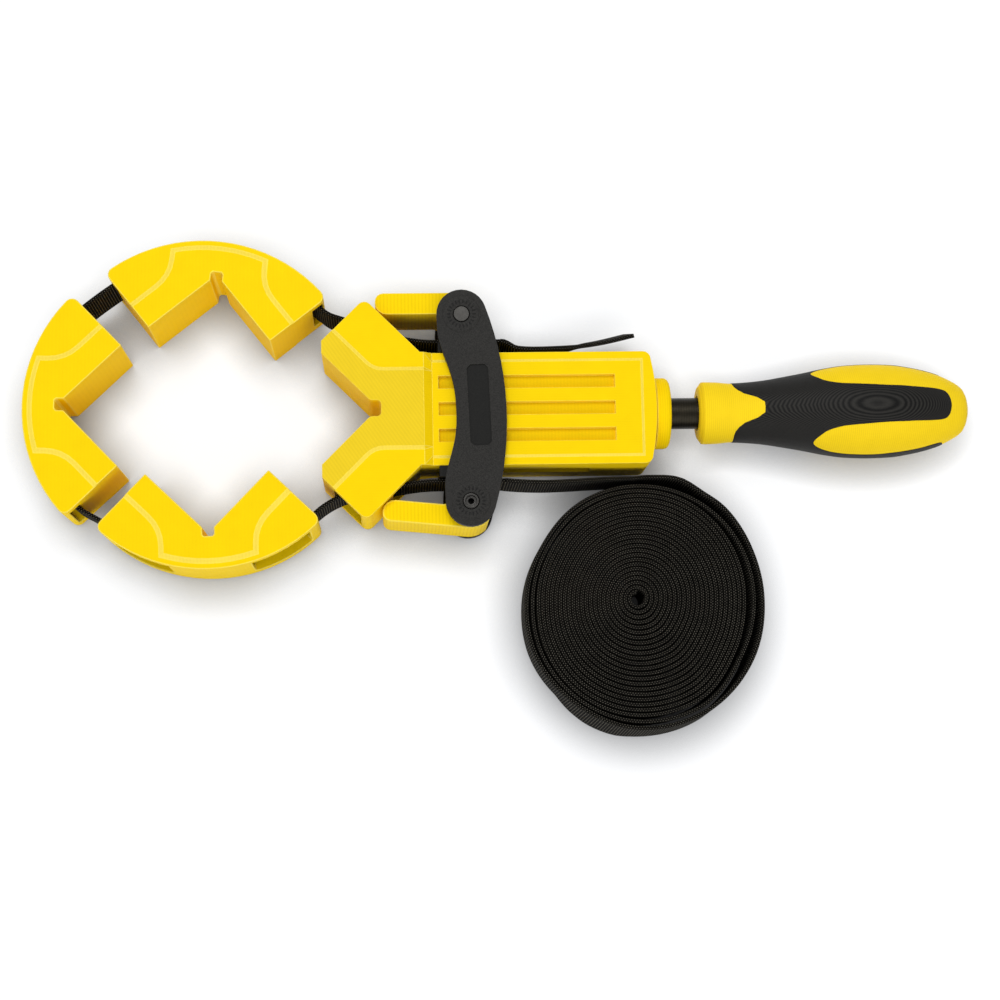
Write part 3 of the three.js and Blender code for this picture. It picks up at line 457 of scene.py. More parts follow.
def apply_modifier(piece, kind, **settings):
    pick(piece)
    bpy.ops.object.modifier_add(type=kind)
    modifier = piece.modifiers[-1]
    for name, value in settings.items():
        setattr(modifier, name, value)
    bpy.ops.object.modifier_apply(modifier=modifier.name)


def smooth(piece, degrees=32):
    pick(piece)
    bpy.ops.object.shade_smooth_by_angle(angle=math.radians(degrees))


def dress(piece, *keys):
    """Gives the piece its materials, in the order of its slots."""
    slots = piece.data.materials
    for place, key in enumerate(keys):
        if place < len(slots):
            slots[place] = finish_for(key)
        else:
            slots.append(finish_for(key))


def settle(piece, body, slot, *nodes):
    """Hides the solids that the piece takes the place of, and hangs the piece on its body. The slot is not
    used.
    """
    if nodes:
        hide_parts(*nodes)
    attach(piece, body)


def new_piece(name, vertices, faces=(), edges=()):
    """A piece from a list of places in millimetres."""
    mesh = bpy.data.meshes.new(name)
    mesh.from_pydata([tuple(value * MM for value in place) for place in vertices], edges, faces)
    mesh.update()
    piece = bpy.data.objects.new(name, mesh)
    bpy.context.scene.collection.objects.link(piece)
    return piece


def point_out(piece):
    open_mesh(piece, "SELECT")
    bpy.ops.mesh.normals_make_consistent(inside=False)
    close_mesh()


def spin_round(piece, steps, center, axis, dupli=False):
    """Turns all of the mesh once round an axis, welds it and points its faces outwards."""
    open_mesh(piece, "SELECT")
    bpy.ops.mesh.spin(
        steps=steps, angle=2 * math.pi, center=[value * MM for value in center], axis=axis, dupli=dupli)
    bpy.ops.mesh.select_all(action="SELECT")
    bpy.ops.mesh.remove_doubles(threshold=WELD * MM)
    bpy.ops.mesh.normals_make_consistent(inside=False)
    close_mesh()


def soften_step(piece, high, low, width):
    """Slopes the short walls between two levels: their feet move out along the lower level. The slopes take
    the second material, which on the yellow mouldings is the painted rim highlight.
    """
    shape = bmesh.new()
    shape.from_mesh(piece.data)

    def on_level(vertex, level):
        return abs(vertex.co.z - level) < 0.02 * MM

    walls = [
        face for face in shape.faces
        if abs(face.normal.z) < 0.1 and all(on_level(v, high) or on_level(v, low) for v in face.verts)
    ]
    feet = {}
    for wall in walls:
        # Slopes take slot 1, the painted rim highlight
        wall.material_index = 1
        for vertex in wall.verts:
            if on_level(vertex, low):
                feet.setdefault(vertex, []).append(wall.normal.copy())
    moves = {}
    for vertex, normals in feet.items():
        if len(normals) > 1:
            moves[vertex] = (normals[0] + normals[1]) * (width / (1 + normals[0].dot(normals[1])))
            continue
        for edge in vertex.link_edges:
            other = edge.other_vert(vertex)
            if on_level(other, low) and not any(face in walls for face in edge.link_faces):
                along = (other.co - vertex.co).normalized()
                slide = width / max(along.dot(normals[0]), 0.35)
                moves[vertex] = along * min(slide, 0.8 * edge.calc_length())
    for vertex, move in moves.items():
        vertex.co += move
    shape.to_mesh(piece.data)
    shape.free()


def ease_head(piece):
    """Slopes the shoulder between head and body, and rounds the corners of the relief in the V."""
    open_mesh(piece)
    bpy.ops.mesh.select_mode(type="VERT")
    close_mesh()
    for vertex in piece.data.vertices:
        level = abs(vertex.co.z / MM - SCREW_HEIGHT)
        on_body = BODY_LEVEL - NEAR < level < BODY_PANEL_LEVEL + NEAR
        vertex.select = on_body and abs(vertex.co.x / MM - SHOULDER_X) < NEAR
    bpy.ops.object.mode_set(mode="EDIT")
    bpy.ops.transform.translate(value=(SHOULDER_RUN * MM, 0, 0))
    bpy.ops.mesh.select_mode(type="FACE")
    close_mesh()
    for face in piece.data.polygons:
        level = abs(face.center.z / MM - SCREW_HEIGHT)
        at_shoulder = 0 < face.center.x / MM < SHOULDER_X + SHOULDER_RUN
        face.select = at_shoulder and face.normal.x > 0.3 and level > BODY_LEVEL
    bpy.ops.object.mode_set(mode="EDIT")
    bpy.ops.mesh.quads_convert_to_tris(quad_method="BEAUTY", ngon_method="BEAUTY")
    for along, radius in ((RELIEF_BACK_X, RELIEF_BACK_RADIUS), (RELIEF_MOUTH_X, RELIEF_MOUTH_RADIUS)):
        bpy.ops.mesh.select_all(action="DESELECT")
        bpy.ops.mesh.select_mode(type="EDGE")
        close_mesh()
        for edge in piece.data.edges:
            ends = [piece.data.vertices[i].co / MM for i in edge.vertices]
            at_corner = all(
                abs(end.x - along) < NEAR and abs(abs(end.y) - RELIEF_HALF) < NEAR for end in ends)
            edge.select = at_corner and ends[0].y * ends[1].y > 0
        bpy.ops.object.mode_set(mode="EDIT")
        bpy.ops.mesh.bevel(offset=radius * MM, segments=4, profile=0.5, clamp_overlap=True)
    bpy.ops.mesh.select_mode(type="VERT")
    close_mesh()


def worked_copy(node, name, edge, segments=2, steps=(), reshape=None):
    """A copy of a solid, its flat faces made whole, its steps sloped and its edges rounded into rims that
    take its second material, a painted highlight where that is a rim colour.
    """
    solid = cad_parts[node]
    piece = bpy.data.objects.new(name, solid.data.copy())
    bpy.context.scene.collection.objects.link(piece)
    piece.data.materials.clear()
    for _ in range(2):
        piece.data.materials.append(None)
    for face in piece.data.polygons:
        face.material_index = 0
    open_mesh(piece, "SELECT")
    bpy.ops.mesh.remove_doubles(threshold=SOLID_WELD * MM)
    bpy.ops.mesh.dissolve_limited(angle_limit=math.radians(FLAT_BEND))
    close_mesh()
    for high, low, width in steps:
        soften_step(piece, high * MM, low * MM, width * MM)
    if reshape is not None:
        reshape(piece)
    open_mesh(piece)
    bpy.ops.mesh.select_mode(type="EDGE")
    bpy.ops.mesh.edges_select_sharp(sharpness=math.radians(SHARP_BEND))
    # Rounded edges take slot 1: the painted rim highlight where the piece is given one
    bpy.ops.mesh.bevel(offset=edge, segments=segments, profile=0.5, material=1, clamp_overlap=True)
    bpy.ops.mesh.select_mode(type="VERT")
    close_mesh()
    smooth(piece)
    apply_modifier(piece, "WEIGHTED_NORMAL", keep_sharp=True, weight=60)
    return piece


def finish_node(node, name, edge, keys, body, slot, **work):
    """A worked copy that takes the solid's place: first its own material, then that of its rims, which on
    the mouldings and yoke plates is a painted highlight.
    """
    piece = worked_copy(node, name, edge, **work)
    dress(piece, *keys)
    settle(piece, body, slot, node)
    return piece


# Routes of the band, in millimetres

def bend(before, start, end, after, share):
    """A point between start and end on a smooth curve that spaces its knots by the root of each gap."""
    knots = [0.0]
    places = (before, start, end, after)
    for first, second in zip(places, places[1:]):
        knots.append(knots[-1] + max((second - first).length, 1e-9) ** 0.5)
    at = knots[1] + (knots[2] - knots[1]) * share

    def between(first, second, low, high):
        return first * ((knots[high] - at) / (knots[high] - knots[low])) + second * (
            (at - knots[low]) / (knots[high] - knots[low]))

    one = between(before, start, 0, 1)
    two = between(start, end, 1, 2)
    three = between(end, after, 2, 3)
    return between(between(one, two, 0, 2), between(two, three, 1, 3), 1, 2)


def smooth_route(points, step):
    """Evenly spaced places on a smooth curve through the points."""
    places = [Vector(point) for point in points]
    places = [2 * places[0] - places[1], *places, 2 * places[-1] - places[-2]]
    fine = []
    for i in range(1, len(places) - 2):
        pieces = max(4, math.ceil((places[i + 1] - places[i]).length / (step / 4)))
        fine += [bend(*places[i - 1:i + 3], k / pieces) for k in range(pieces)]
    fine.append(places[-2])
    return evenly(fine, step)


def evenly(fine, step):
    lengths = [0.0]
    for first, second in zip(fine, fine[1:]):
        lengths.append(lengths[-1] + (second - first).length)
    count = math.ceil(lengths[-1] / step)
    route, i = [], 0
    for k in range(count + 1):
        goal = lengths[-1] * k / count
        while i < len(fine) - 2 and lengths[i + 1] < goal:
            i += 1
        span = lengths[i + 1] - lengths[i]
        route.append(fine[i].lerp(fine[i + 1], (goal - lengths[i]) / span if span else 0))
    return route


def route_length(route):
    return sum((second - first).length for first, second in zip(route, route[1:]))


# Half of the arc that the band takes in a jaw, in radians, and each arc of the loop: the place and
# turn of the jaw in degrees, and the band's distance from the jaw's centre where it starts and ends
JAW_REACH = 0.72686
JAW_KNOTS = 10
TOP_JAW_ARC = (-75.44, 5.68, 172.9, 56.6, 56.6)
LEFT_JAW_ARC = (-82.39, 1.66, -91.6, 56.3, 55.65)
BOTTOM_JAW_ARC = (-73.86, 0.4, 1.1, 56.6, 56.6)


def jaw_route(x, y, turn, start_radius, end_radius):
    """The middle of the band round one jaw, clockwise end first."""
    middle = math.radians(turn) - math.pi / 2
    points = []
    for i in range(JAW_KNOTS + 1):
        share = i / JAW_KNOTS
        angle = middle - JAW_REACH + 2 * JAW_REACH * share
        radius = start_radius + (end_radius - start_radius) * share
        points.append((x + radius * math.cos(angle), y + radius * math.sin(angle)))
    return points


def beside_body(route, side, step):
    """Places along the body, each with how far it stands out from the straight run of the band."""
    return smooth_route([(along, side * (BAND_RUN_Y + out)) for along, out in route], step)


UPPER_LOOP_END = [(2, 28.55), (-9, 32.75), (-16, 35), (-21.4, 36.6), (-27, 38.6), (-30.6, 41.3)]
LOWER_LOOP_END = [(-31, -37.2), (-26, -34), (-20, -31.6), (-9, -30.1), (2, -28.3)]
LOWER_LEFT_BEND = (-118, -38.4)
UPPER_RUN = [(2.05, 1.22), (7, 0.4), (12, 0), (20, 0), (38.98, 0)]
LOWER_RUN = [(2.05, 1.04), (7, 0.35), (12, 0), (20, 0), (39.98, 0)]
TAIL = [
    (39, 0), (40.2, 0), (42, -0.75), (44.8, -2.45), (49, -3.05), (60, -3.05), (71.6, -2.45), (80, -1.15),
    (91.2, 1.45),
]
TAIL_EXTRA_THICKNESS = 0.3
# How much of its lean the tail has, by share of its length
TAIL_LEAN_SHARE = [(0, 0), (0.25, 0), (0.7, 1), (1, 1)]
LEAD = [(40, 0), (46, 0.5), (55, 0.7), (65, 0.2), (74, -0.5), (82, -0.95), (89.85, -1.1)]

COIL_X, COIL_Y = 90.2, -72.9
COIL_TURNS = 24
COIL_PITCH = 1.75
COIL_RADIUS = 44.5
COIL_STEPS = 96
SPRUNG_TURNS = 3

# How far out the outer wraps have sprung, by degrees along the coil. Read from the photo.
# Further in, the last of these turns repeats and fades to nothing
COIL_SPRUNG = [
    (0, 2.25), (10, 3.5), (22, 5.2), (34, 4.4), (44, 4.9), (60, 4.5), (70, 4.3), (90, 4.7), (120, 6.2),
    (150, 6.9), (180, 6.05), (210, 3.45), (240, 1.6), (270, -0.7), (300, -1.65), (330, -0.3), (360, 0.85),
    (390, 1.95), (420, 2.8), (450, 3.1), (480, 3.65), (510, 6.15), (540, 5.4), (570, 3.4), (600, 1.05),
    (630, -1.2), (660, -1.7), (690, -0.35), (720, 0.7), (750, 1.4), (780, 1.25), (810, 1.05), (840, 2.2),
    (870, 5.15), (900, 4.8), (930, 3.15), (960, 0.5), (990, -1.65), (1020, -1.95), (1050, -0.7),
    (1080, 0.67),
]
# How far the first wrap's lower edge stands out, by millimetres along the coil
COIL_FOOT_OUT = [
    (0, 0), (10, -0.5), (70, -0.5), (100, 0), (121, 1), (130, 1.5), (147, 1.8), (156, 2), (164, 2.5),
    (172, 2.4), (180, 1.7), (190, 0),
]


def coil_sprung(turn):
    """Extra radius at a place along the coil, in turns from its outer end."""
    if turn <= SPRUNG_TURNS:
        return along_table(COIL_SPRUNG, 360 * turn)
    like = SPRUNG_TURNS - 1 + turn % 1
    fade = (COIL_TURNS - turn) / (COIL_TURNS - like)
    return along_table(COIL_SPRUNG, 360 * like) * fade


def coil_route(step):
    """Places along the coil, from its outer end inwards."""
    fine = []
    for i in range(COIL_TURNS * COIL_STEPS + 1):
        turn = i / COIL_STEPS
        radius = COIL_RADIUS - COIL_PITCH * turn + coil_sprung(turn)
        angle = 2 * math.pi * turn
        fine.append(Vector((COIL_X + radius * math.sin(angle), COIL_Y + radius * math.cos(angle))))
    return evenly(fine, step)


def band_section(thickness):
    """Half of the webbing's outline, from the middle of its top edge to the middle of its bottom edge:
    how far out, how high, and how far round from the top."""
    half = thickness / 2
    top = [(0, -0.14), (0.35, -0.02), (0.72, -0.06), (0.94, -0.3), (1, -0.62)]
    places = [(half * out, BAND_WIDTH + down) for out, down in top]
    places.append((half, BAND_WIDTH / 2))
    places += [(half * out, -down) for out, down in reversed(top)]
    rounds = [0.0]
    for first, second in zip(places, places[1:]):
        rounds.append(rounds[-1] + math.dist(first, second))
    return [(out, high, around) for (out, high), around in zip(places, rounds)]


def band_piece(name, route, thickness, low_at=lambda share: BAND_LOW, lean_at=lambda share: (0, 0)):
    """A closed strip of webbing on edge along the route, with a UV map in metres along and round it."""
    half = band_section(thickness)
    columns = [(-out, high, -around) for out, high, around in reversed(half)] + half[1:]
    ring = len(columns) - 1
    vertices, faces, uvs = [], [], []
    last = len(route) - 1
    lengths = [0.0]
    for first, second in zip(route, route[1:]):
        lengths.append(lengths[-1] + (second - first).length)
    for i, place in enumerate(route):
        along = (route[min(i + 1, last)] - route[max(i - 1, 0)]).normalized()
        side = Vector((-along.y, along.x))
        share = lengths[i] / lengths[-1]
        low = low_at(share)
        foot_out, top_out = lean_at(share)
        for out, high, _ in columns[:ring]:
            leaned = out + foot_out + (top_out - foot_out) * high / BAND_WIDTH
            vertices.append((*(place + side * leaned), low + high))
    for i in range(last):
        for k in range(ring):
            here, there = ring * i + k, ring * i + (k + 1) % ring
            faces.append((here, there, there + ring, here + ring))
            uvs += [(lengths[i], columns[k][2]), (lengths[i], columns[k + 1][2]),
                    (lengths[i + 1], columns[k + 1][2]), (lengths[i + 1], columns[k][2])]
    for start, order in ((0, -1), (ring * last, 1)):
        faces.append(tuple(range(start, start + ring))[::order])
        uvs += [(columns[k][0], columns[k][1]) for k in range(ring)][::order]
    piece = new_piece(name, vertices, faces)
    layer = piece.data.uv_layers.new(name="Band")
    for corner, (u, v) in zip(layer.data, uvs):
        corner.uv = (u * MM, v * MM)
    point_out(piece)
    smooth(piece, 60)
    dress(piece, "webbing")
    return piece, lengths[-1] * MM


def lay_band(made, nodes, body):
    """Hides the solids that a stretch of band takes the place of, and hangs it on its body."""
    piece, flat_length = made
    settle(piece, body, "webbing", *nodes)


# Handle profile, as shares of its length and of its swell

HANDLE_PROFILE = [
    (0, 0.6), (0.02, 0.663), (0.068, 0.657), (0.126, 0.628), (0.188, 0.646), (0.245, 0.68),
    (0.308, 0.74), (0.39, 0.826), (0.47, 0.92), (0.55, 0.982), (0.63, 1), (0.711, 0.985),
    (0.791, 0.917), (0.872, 0.8), (0.937, 0.636), (0.977, 0.473), (0.994, 0.25), (1, 0.0),
]
CORE_STEPS = 90
CORE_FIRST_SHARE = 0.016
BUTT_SHARE = 0.9
WINDOW_TIP = 160.6
SHANK_BORE = 6.4
SHANK_END = 160.3
BORE_CHAMFER = 0.6
# The rounded front of the ferrule, as (along from its face, in from its rim)
FERRULE_LIP = [(0, 2), (0.25, 0.95), (0.85, 0.1)]

# The grip's mesh: rows along its neck and each of its tongues, and columns across a tongue
NECK_ROWS = 14
TONGUE_ROWS = 40
TONGUE_COLUMNS = 12

# Half width of each dark tongue in degrees round the handle, by place along it
TOP_TONGUE = [
    (160.6, 59), (161, 54), (163, 44), (165, 37), (168, 32), (172, 28), (181, 25), (190, 23.2), (198, 23),
    (209, 24), (211.8, 23), (213.4, 18), (214.2, 10), (214.5, 3),
]
SIDE_TONGUE = [
    (160.6, 30), (161, 26), (163, 20), (165, 17), (169, 13.6), (177, 13), (186, 14), (194, 17), (203, 18),
    (209, 20), (211.2, 19), (212.3, 15), (212.9, 8), (213.1, 3),
]
# Where the grip starts at the ferrule's tongue, by degrees from the top
FERRULE_TONGUE = [
    (0, 141.6), (12, 141.4), (17, 140.6), (20, 138.4), (27, 134.6), (38, 131.8), (50, 130.3), (56, 130),
]


def along_table(table, at):
    """A smooth value between the rows of a table of (place, value)."""
    if at <= table[0][0]:
        return table[0][1]
    if at >= table[-1][0]:
        return table[-1][1]
    i = next(k for k in range(1, len(table)) if table[k][0] >= at) - 1
    (x0, y0), (x1, y1) = table[i], table[i + 1]

    def slope(k):
        if k <= 0 or k >= len(table) - 1:
            return (y1 - y0) / (x1 - x0)
        before = (table[k][1] - table[k - 1][1]) / (table[k][0] - table[k - 1][0])
        after = (table[k + 1][1] - table[k][1]) / (table[k + 1][0] - table[k][0])
        return 0 if before * after <= 0 else 2 * before * after / (before + after)

    span = x1 - x0
    t = (at - x0) / span
    return (
        (1 + 2 * t) * (1 - t) ** 2 * y0 + t * (1 - t) ** 2 * span * slope(i)
        + t * t * (3 - 2 * t) * y1 + t * t * (t - 1) * span * slope(i + 1)
    )


def handle_radius(handle, along):
    start, end = handle.start / MM, handle.end / MM
    return along_table(HANDLE_PROFILE, (along - start) / (end - start)) * handle.swell / MM


def on_handle(handle, along, degrees, radius):
    """A place on the handle, by degrees round it from the top."""
    angle = math.radians(degrees) - handle.turn
    return along, radius * math.sin(angle), SCREW_HEIGHT + radius * math.cos(angle)


def turned_on_screw(name, profile, sides):
    """A closed piece turned about the screw from (along, radius) pairs that start and end on it."""
    piece = new_piece(
        name, [(along, 0, SCREW_HEIGHT + radius) for along, radius in profile],
        edges=[(i, i + 1) for i in range(len(profile) - 1)])
    spin_round(piece, sides, (0, 0, SCREW_HEIGHT), (1, 0, 0))
    return piece


def grip_sleeve(name, handle):
    """The outer skin of the grip: one ring round the neck and four tongues, two of them wide."""
    rise = handle.grip_rise / MM
    tongues = [(0, TOP_TONGUE), (90, SIDE_TONGUE), (180, TOP_TONGUE), (270, SIDE_TONGUE)]
    vertices, faces = [], []
    welds = {}

    def vertex(along, degrees):
        place = on_handle(handle, along, degrees, handle_radius(handle, along) + rise)
        key = tuple(round(value, 3) for value in place)
        if key not in welds:
            welds[key] = len(vertices)
            vertices.append(place)
        return welds[key]

    def strip(rows):
        for first, second in zip(rows, rows[1:]):
            for a, b, c, d in zip(first, first[1:], second[1:], second):
                corners = [a, b, c, d]
                face = [corner for k, corner in enumerate(corners) if corner != corners[k - 1]]
                if len(face) > 2:
                    faces.append(tuple(face))

    def first_row(degrees):
        away = abs((degrees + 90) % 180 - 90)
        return along_table(FERRULE_TONGUE, away)

    # The neck, in columns that continue the tongues and the gaps between them
    fans = []
    for middle, table in tongues:
        half = table[0][1]
        fans += [middle - half + 2 * half * k / TONGUE_COLUMNS for k in range(TONGUE_COLUMNS)]
        gap_start = middle + half
        gap_end = middle + 90 - (SIDE_TONGUE if table is TOP_TONGUE else TOP_TONGUE)[0][1]
        fans.append(gap_start if gap_end - gap_start > 0.01 else None)
    fans = [degrees for degrees in fans if degrees is not None]
    fans.append(fans[0] + 360)
    neck = []
    for k in range(NECK_ROWS + 1):
        share = k / NECK_ROWS
        row = []
        for degrees in fans:
            start = first_row(degrees)
            row.append(vertex(start + (WINDOW_TIP - start) * share, degrees))
        neck.append(row)
    strip(neck)

    for middle, table in tongues:
        end = table[-1][0]
        rows = []
        for k in range(TONGUE_ROWS + 1):
            along = WINDOW_TIP + (end - WINDOW_TIP) * (0.5 - 0.5 * math.cos(math.pi * k / TONGUE_ROWS))
            half = along_table(table, along)
            across = [middle - half + 2 * half * i / TONGUE_COLUMNS for i in range(TONGUE_COLUMNS + 1)]
            rows.append([vertex(along, degrees) for degrees in across])
        strip(rows)
    piece = new_piece(name, vertices, faces)
    point_out(piece)
    return piece


# Operators

class CLAMP_OT_set_stage(bpy.types.Operator):
    """Lays the floor and places the lamps and the camera"""
    bl_idname = "clamp.set_stage"
    bl_label = "Stage"

    def execute(self, context):
        stage = context.scene.clamp_stage
        deselect_all()
        bpy.ops.mesh.primitive_plane_add(size=stage.floor_size, location=(0, 0, -FLOOR_DROP))
        floor = context.object
        floor.name = "stage_floor"
        bpy.ops.object.transform_apply(location=True, rotation=True, scale=True)
        floor.data.materials.append(self.floor_paper())

        self.lamp("Key", KEY_PLACE, KEY_SIZE, stage.key_power)
        self.lamp("Fill", FILL_PLACE, FILL_SIZE, stage.fill_power)

        world = bpy.data.worlds.new("Room")
        context.scene.world = world
        world.use_nodes = True
        sky = world.node_tree.nodes["Background"]
        sky.inputs["Color"].default_value = (1, 1, 1, 1)
        sky.inputs["Strength"].default_value = stage.room_light

        context.scene.view_settings.view_transform = "Standard"

        camera_data = bpy.data.cameras.new("Camera")
        camera_data.lens = stage.lens
        camera_data.sensor_width = SENSOR_WIDTH
        camera_data.clip_start = CLIP_START
        camera_data.clip_end = CLIP_END
        camera = bpy.data.objects.new("Camera", camera_data)
        context.scene.collection.objects.link(camera)
        place, aim = Vector(stage.camera_place), Vector(stage.camera_aim)
        back = (place - aim).normalized()
        level = Vector((0, 1, 0)).cross(back).normalized()
        upright = back.cross(level)
        right = level * math.cos(stage.camera_roll) + upright * math.sin(stage.camera_roll)
        turn = Matrix((right, back.cross(right), back)).transposed()
        camera.matrix_world = Matrix.Translation(place) @ turn.to_4x4()
        context.scene.camera = camera
        return {"FINISHED"}

    def lamp(self, name, place, size, power):
        data = bpy.data.lights.new(name, "AREA")
        data.shape = "DISK"
        data.size = size
        data.energy = power
        lamp = bpy.data.objects.new(name, data)
        bpy.context.scene.collection.objects.link(lamp)
        lamp.location = Vector(LIT_POINT) + Vector(place)
        lamp.rotation_euler = Vector(place).to_track_quat("Z", "Y").to_euler()

    def floor_paper(self):
        """White paper that keeps its shadows, lifted to white where it is seen open to the sky."""
        finish = Finish("Floor paper", 0.9, specular=0.0)
        path = finish.add("ShaderNodeLightPath").outputs
        seen = finish.math("MAXIMUM", path["Is Camera Ray"], path["Is Glossy Ray"])
        seen = finish.math("MAXIMUM", seen, path["Is Transmission Ray"])
        paper = finish.mix(seen, paint(*PAPER), paint(*PAPER_SEEN))
        finish.feed(finish.shader.inputs["Base Color"], paper)
        # Ambient occlusion dims the glow near the clamp: a painted soft shadow on the floor
        openness = finish.add("ShaderNodeAmbientOcclusion", samples=8)
        openness.inputs["Distance"].default_value = PAPER_SHADOW * MM
        lift = finish.math("POWER", openness.outputs["AO"], PAPER_LIFT_POWER)
        glow = finish.add("ShaderNodeEmission")
        glow.inputs["Color"].default_value = (1, 1, 1, 1)
        lift = finish.math("MULTIPLY", lift, PAPER_LIFT)
        finish.feed(glow.inputs["Strength"], finish.math("MULTIPLY", seen, lift))
        both = finish.add("ShaderNodeAddShader")
        finish.feed(both.inputs[0], finish.shader.outputs[0])
        finish.feed(both.inputs[1], glow.outputs[0])
        output = finish.tree.nodes["Material Output"]
        finish.feed(output.inputs["Surface"], both.outputs[0])
        return finish.material


class CLAMP_OT_wind_coil(bpy.types.Operator):
    """Leads the spare band off the clamp and winds it into its coil"""
    bl_idname = "clamp.wind_coil"
    bl_label = "Lead and coil"

    def execute(self, context):
        band = context.scene.clamp_band
        step = band.step / MM
        lead = beside_body(LEAD, -1, step)
        coil = coil_route(step)
        lead_length = route_length(lead)
        total = lead_length + route_length(coil)

        def low_at(share):
            along = min(share * total / lead_length, 1)
            return BAND_LOW * (1 - along) ** 2 * (1 + 2 * along)

        def lean_at(share):
            return along_table(COIL_FOOT_OUT, share * total - lead_length), 0

        made = band_piece("band_coil", lead[:-1] + coil, band.coil_thickness / MM, low_at, lean_at)
        lay_band(made, ["strap_lead", "strap_coil"], "yoke")
        return {"FINISHED"}


class CLAMP_OT_string_band(bpy.types.Operator):
    """Strings the band round the jaws and along the body, and leaves its short tail"""
    bl_idname = "clamp.string_band"
    bl_label = "Loop, runs and tail"

    def execute(self, context):
        band = context.scene.clamp_band
        step, thickness = band.step / MM, band.thickness / MM
        loop = smooth_route([
            *UPPER_LOOP_END,
            *jaw_route(*TOP_JAW_ARC),
            *jaw_route(*LEFT_JAW_ARC),
            LOWER_LEFT_BEND,
            *jaw_route(*BOTTOM_JAW_ARC),
            *LOWER_LOOP_END,
        ], step)
        made = band_piece("band_loop", loop, thickness)
        lay_band(made, ["strap_loop"], "frame")

        tail = beside_body(TAIL, 1, step)
        lean = band.tail_lean / MM
        made = band_piece(
            "band_tail", tail, thickness + TAIL_EXTRA_THICKNESS,
            lean_at=lambda share: (lean * along_table(TAIL_LEAN_SHARE, share), 0))
        lay_band(made, ["strap_tail"], "yoke")

        for name, route, side in (("upper", UPPER_RUN, 1), ("lower", LOWER_RUN, -1)):
            run = beside_body(route, side, step)
            piece, flat_length = band_piece(f"band_run_{name}", run, thickness)
            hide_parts(f"strap_run_{name}")
            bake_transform(piece)
        return {"FINISHED"}


class CLAMP_OT_finish_jaws(bpy.types.Operator):
    """Works the edges of the corner jaws"""
    bl_idname = "clamp.finish_jaws"
    bl_label = "Corner jaws"

    def execute(self, context):
        edges = context.scene.clamp_edges
        steps = (
            (JAW_HEIGHT, JAW_HEIGHT - JAW_PANEL_RISE, JAW_PANEL_SLOPE),
            (0, JAW_PANEL_RISE, JAW_PANEL_SLOPE),
        )
        for side in ("top", "left", "bottom"):
            finish_node(
                f"jaw_{side}", f"corner_jaw_{side}", edges.jaws, ("jaw_yellow", "yellow_rim_highlight"),
                f"{side}_jaw", "yellow_plastic", steps=steps)
        return {"FINISHED"}


class CLAMP_OT_finish_body(bpy.types.Operator):
    """Works the edges of the head, body and end collar"""
    bl_idname = "clamp.finish_body"
    bl_label = "Head and body"

    def execute(self, context):
        edges = context.scene.clamp_edges
        for side in ("upper", "lower"):
            way = 1 if side == "upper" else -1
            levels = (
                (HEAD_PANEL_LEVEL, HEAD_LEVEL, HEAD_PANEL_SLOPE),
                (BODY_PANEL_LEVEL, BODY_LEVEL, BODY_PANEL_SLOPE),
            )
            steps = [
                (SCREW_HEIGHT + way * high, SCREW_HEIGHT + way * low, width) for high, low, width in levels]
            piece = finish_node(
                f"body_{side}_shell", f"body_{side}_moulding", edges.body,
                ("body_yellow", "yellow_rim_highlight", "head_panel", "groove_yellow"),
                "frame", "yellow_plastic", steps=steps, reshape=ease_head)
            for face in piece.data.polygons:
                if face.material_index == 0 and abs(face.normal.z) > 0.9:
                    face.material_index = self.finish_at(face.center / MM)
        finish_node(
            "end_collar", "end_collar_moulding", edges.collar, ("collar_yellow", "yellow_rim_highlight"),
            "frame", "yellow_plastic")
        return {"FINISHED"}

    def finish_at(self, place):
        """The material's number for a flat face: 2 on the head's panel, 3 in a groove, 0 elsewhere."""
        level = abs(place.z - SCREW_HEIGHT)
        if level > (HEAD_PANEL_LEVEL + HEAD_LEVEL) / 2:
            return 2
        in_groove = GROOVE_LOWEST < level < GROOVE_HIGHEST and abs(place.y) < GROOVES_HALF
        return 3 if in_groove else 0


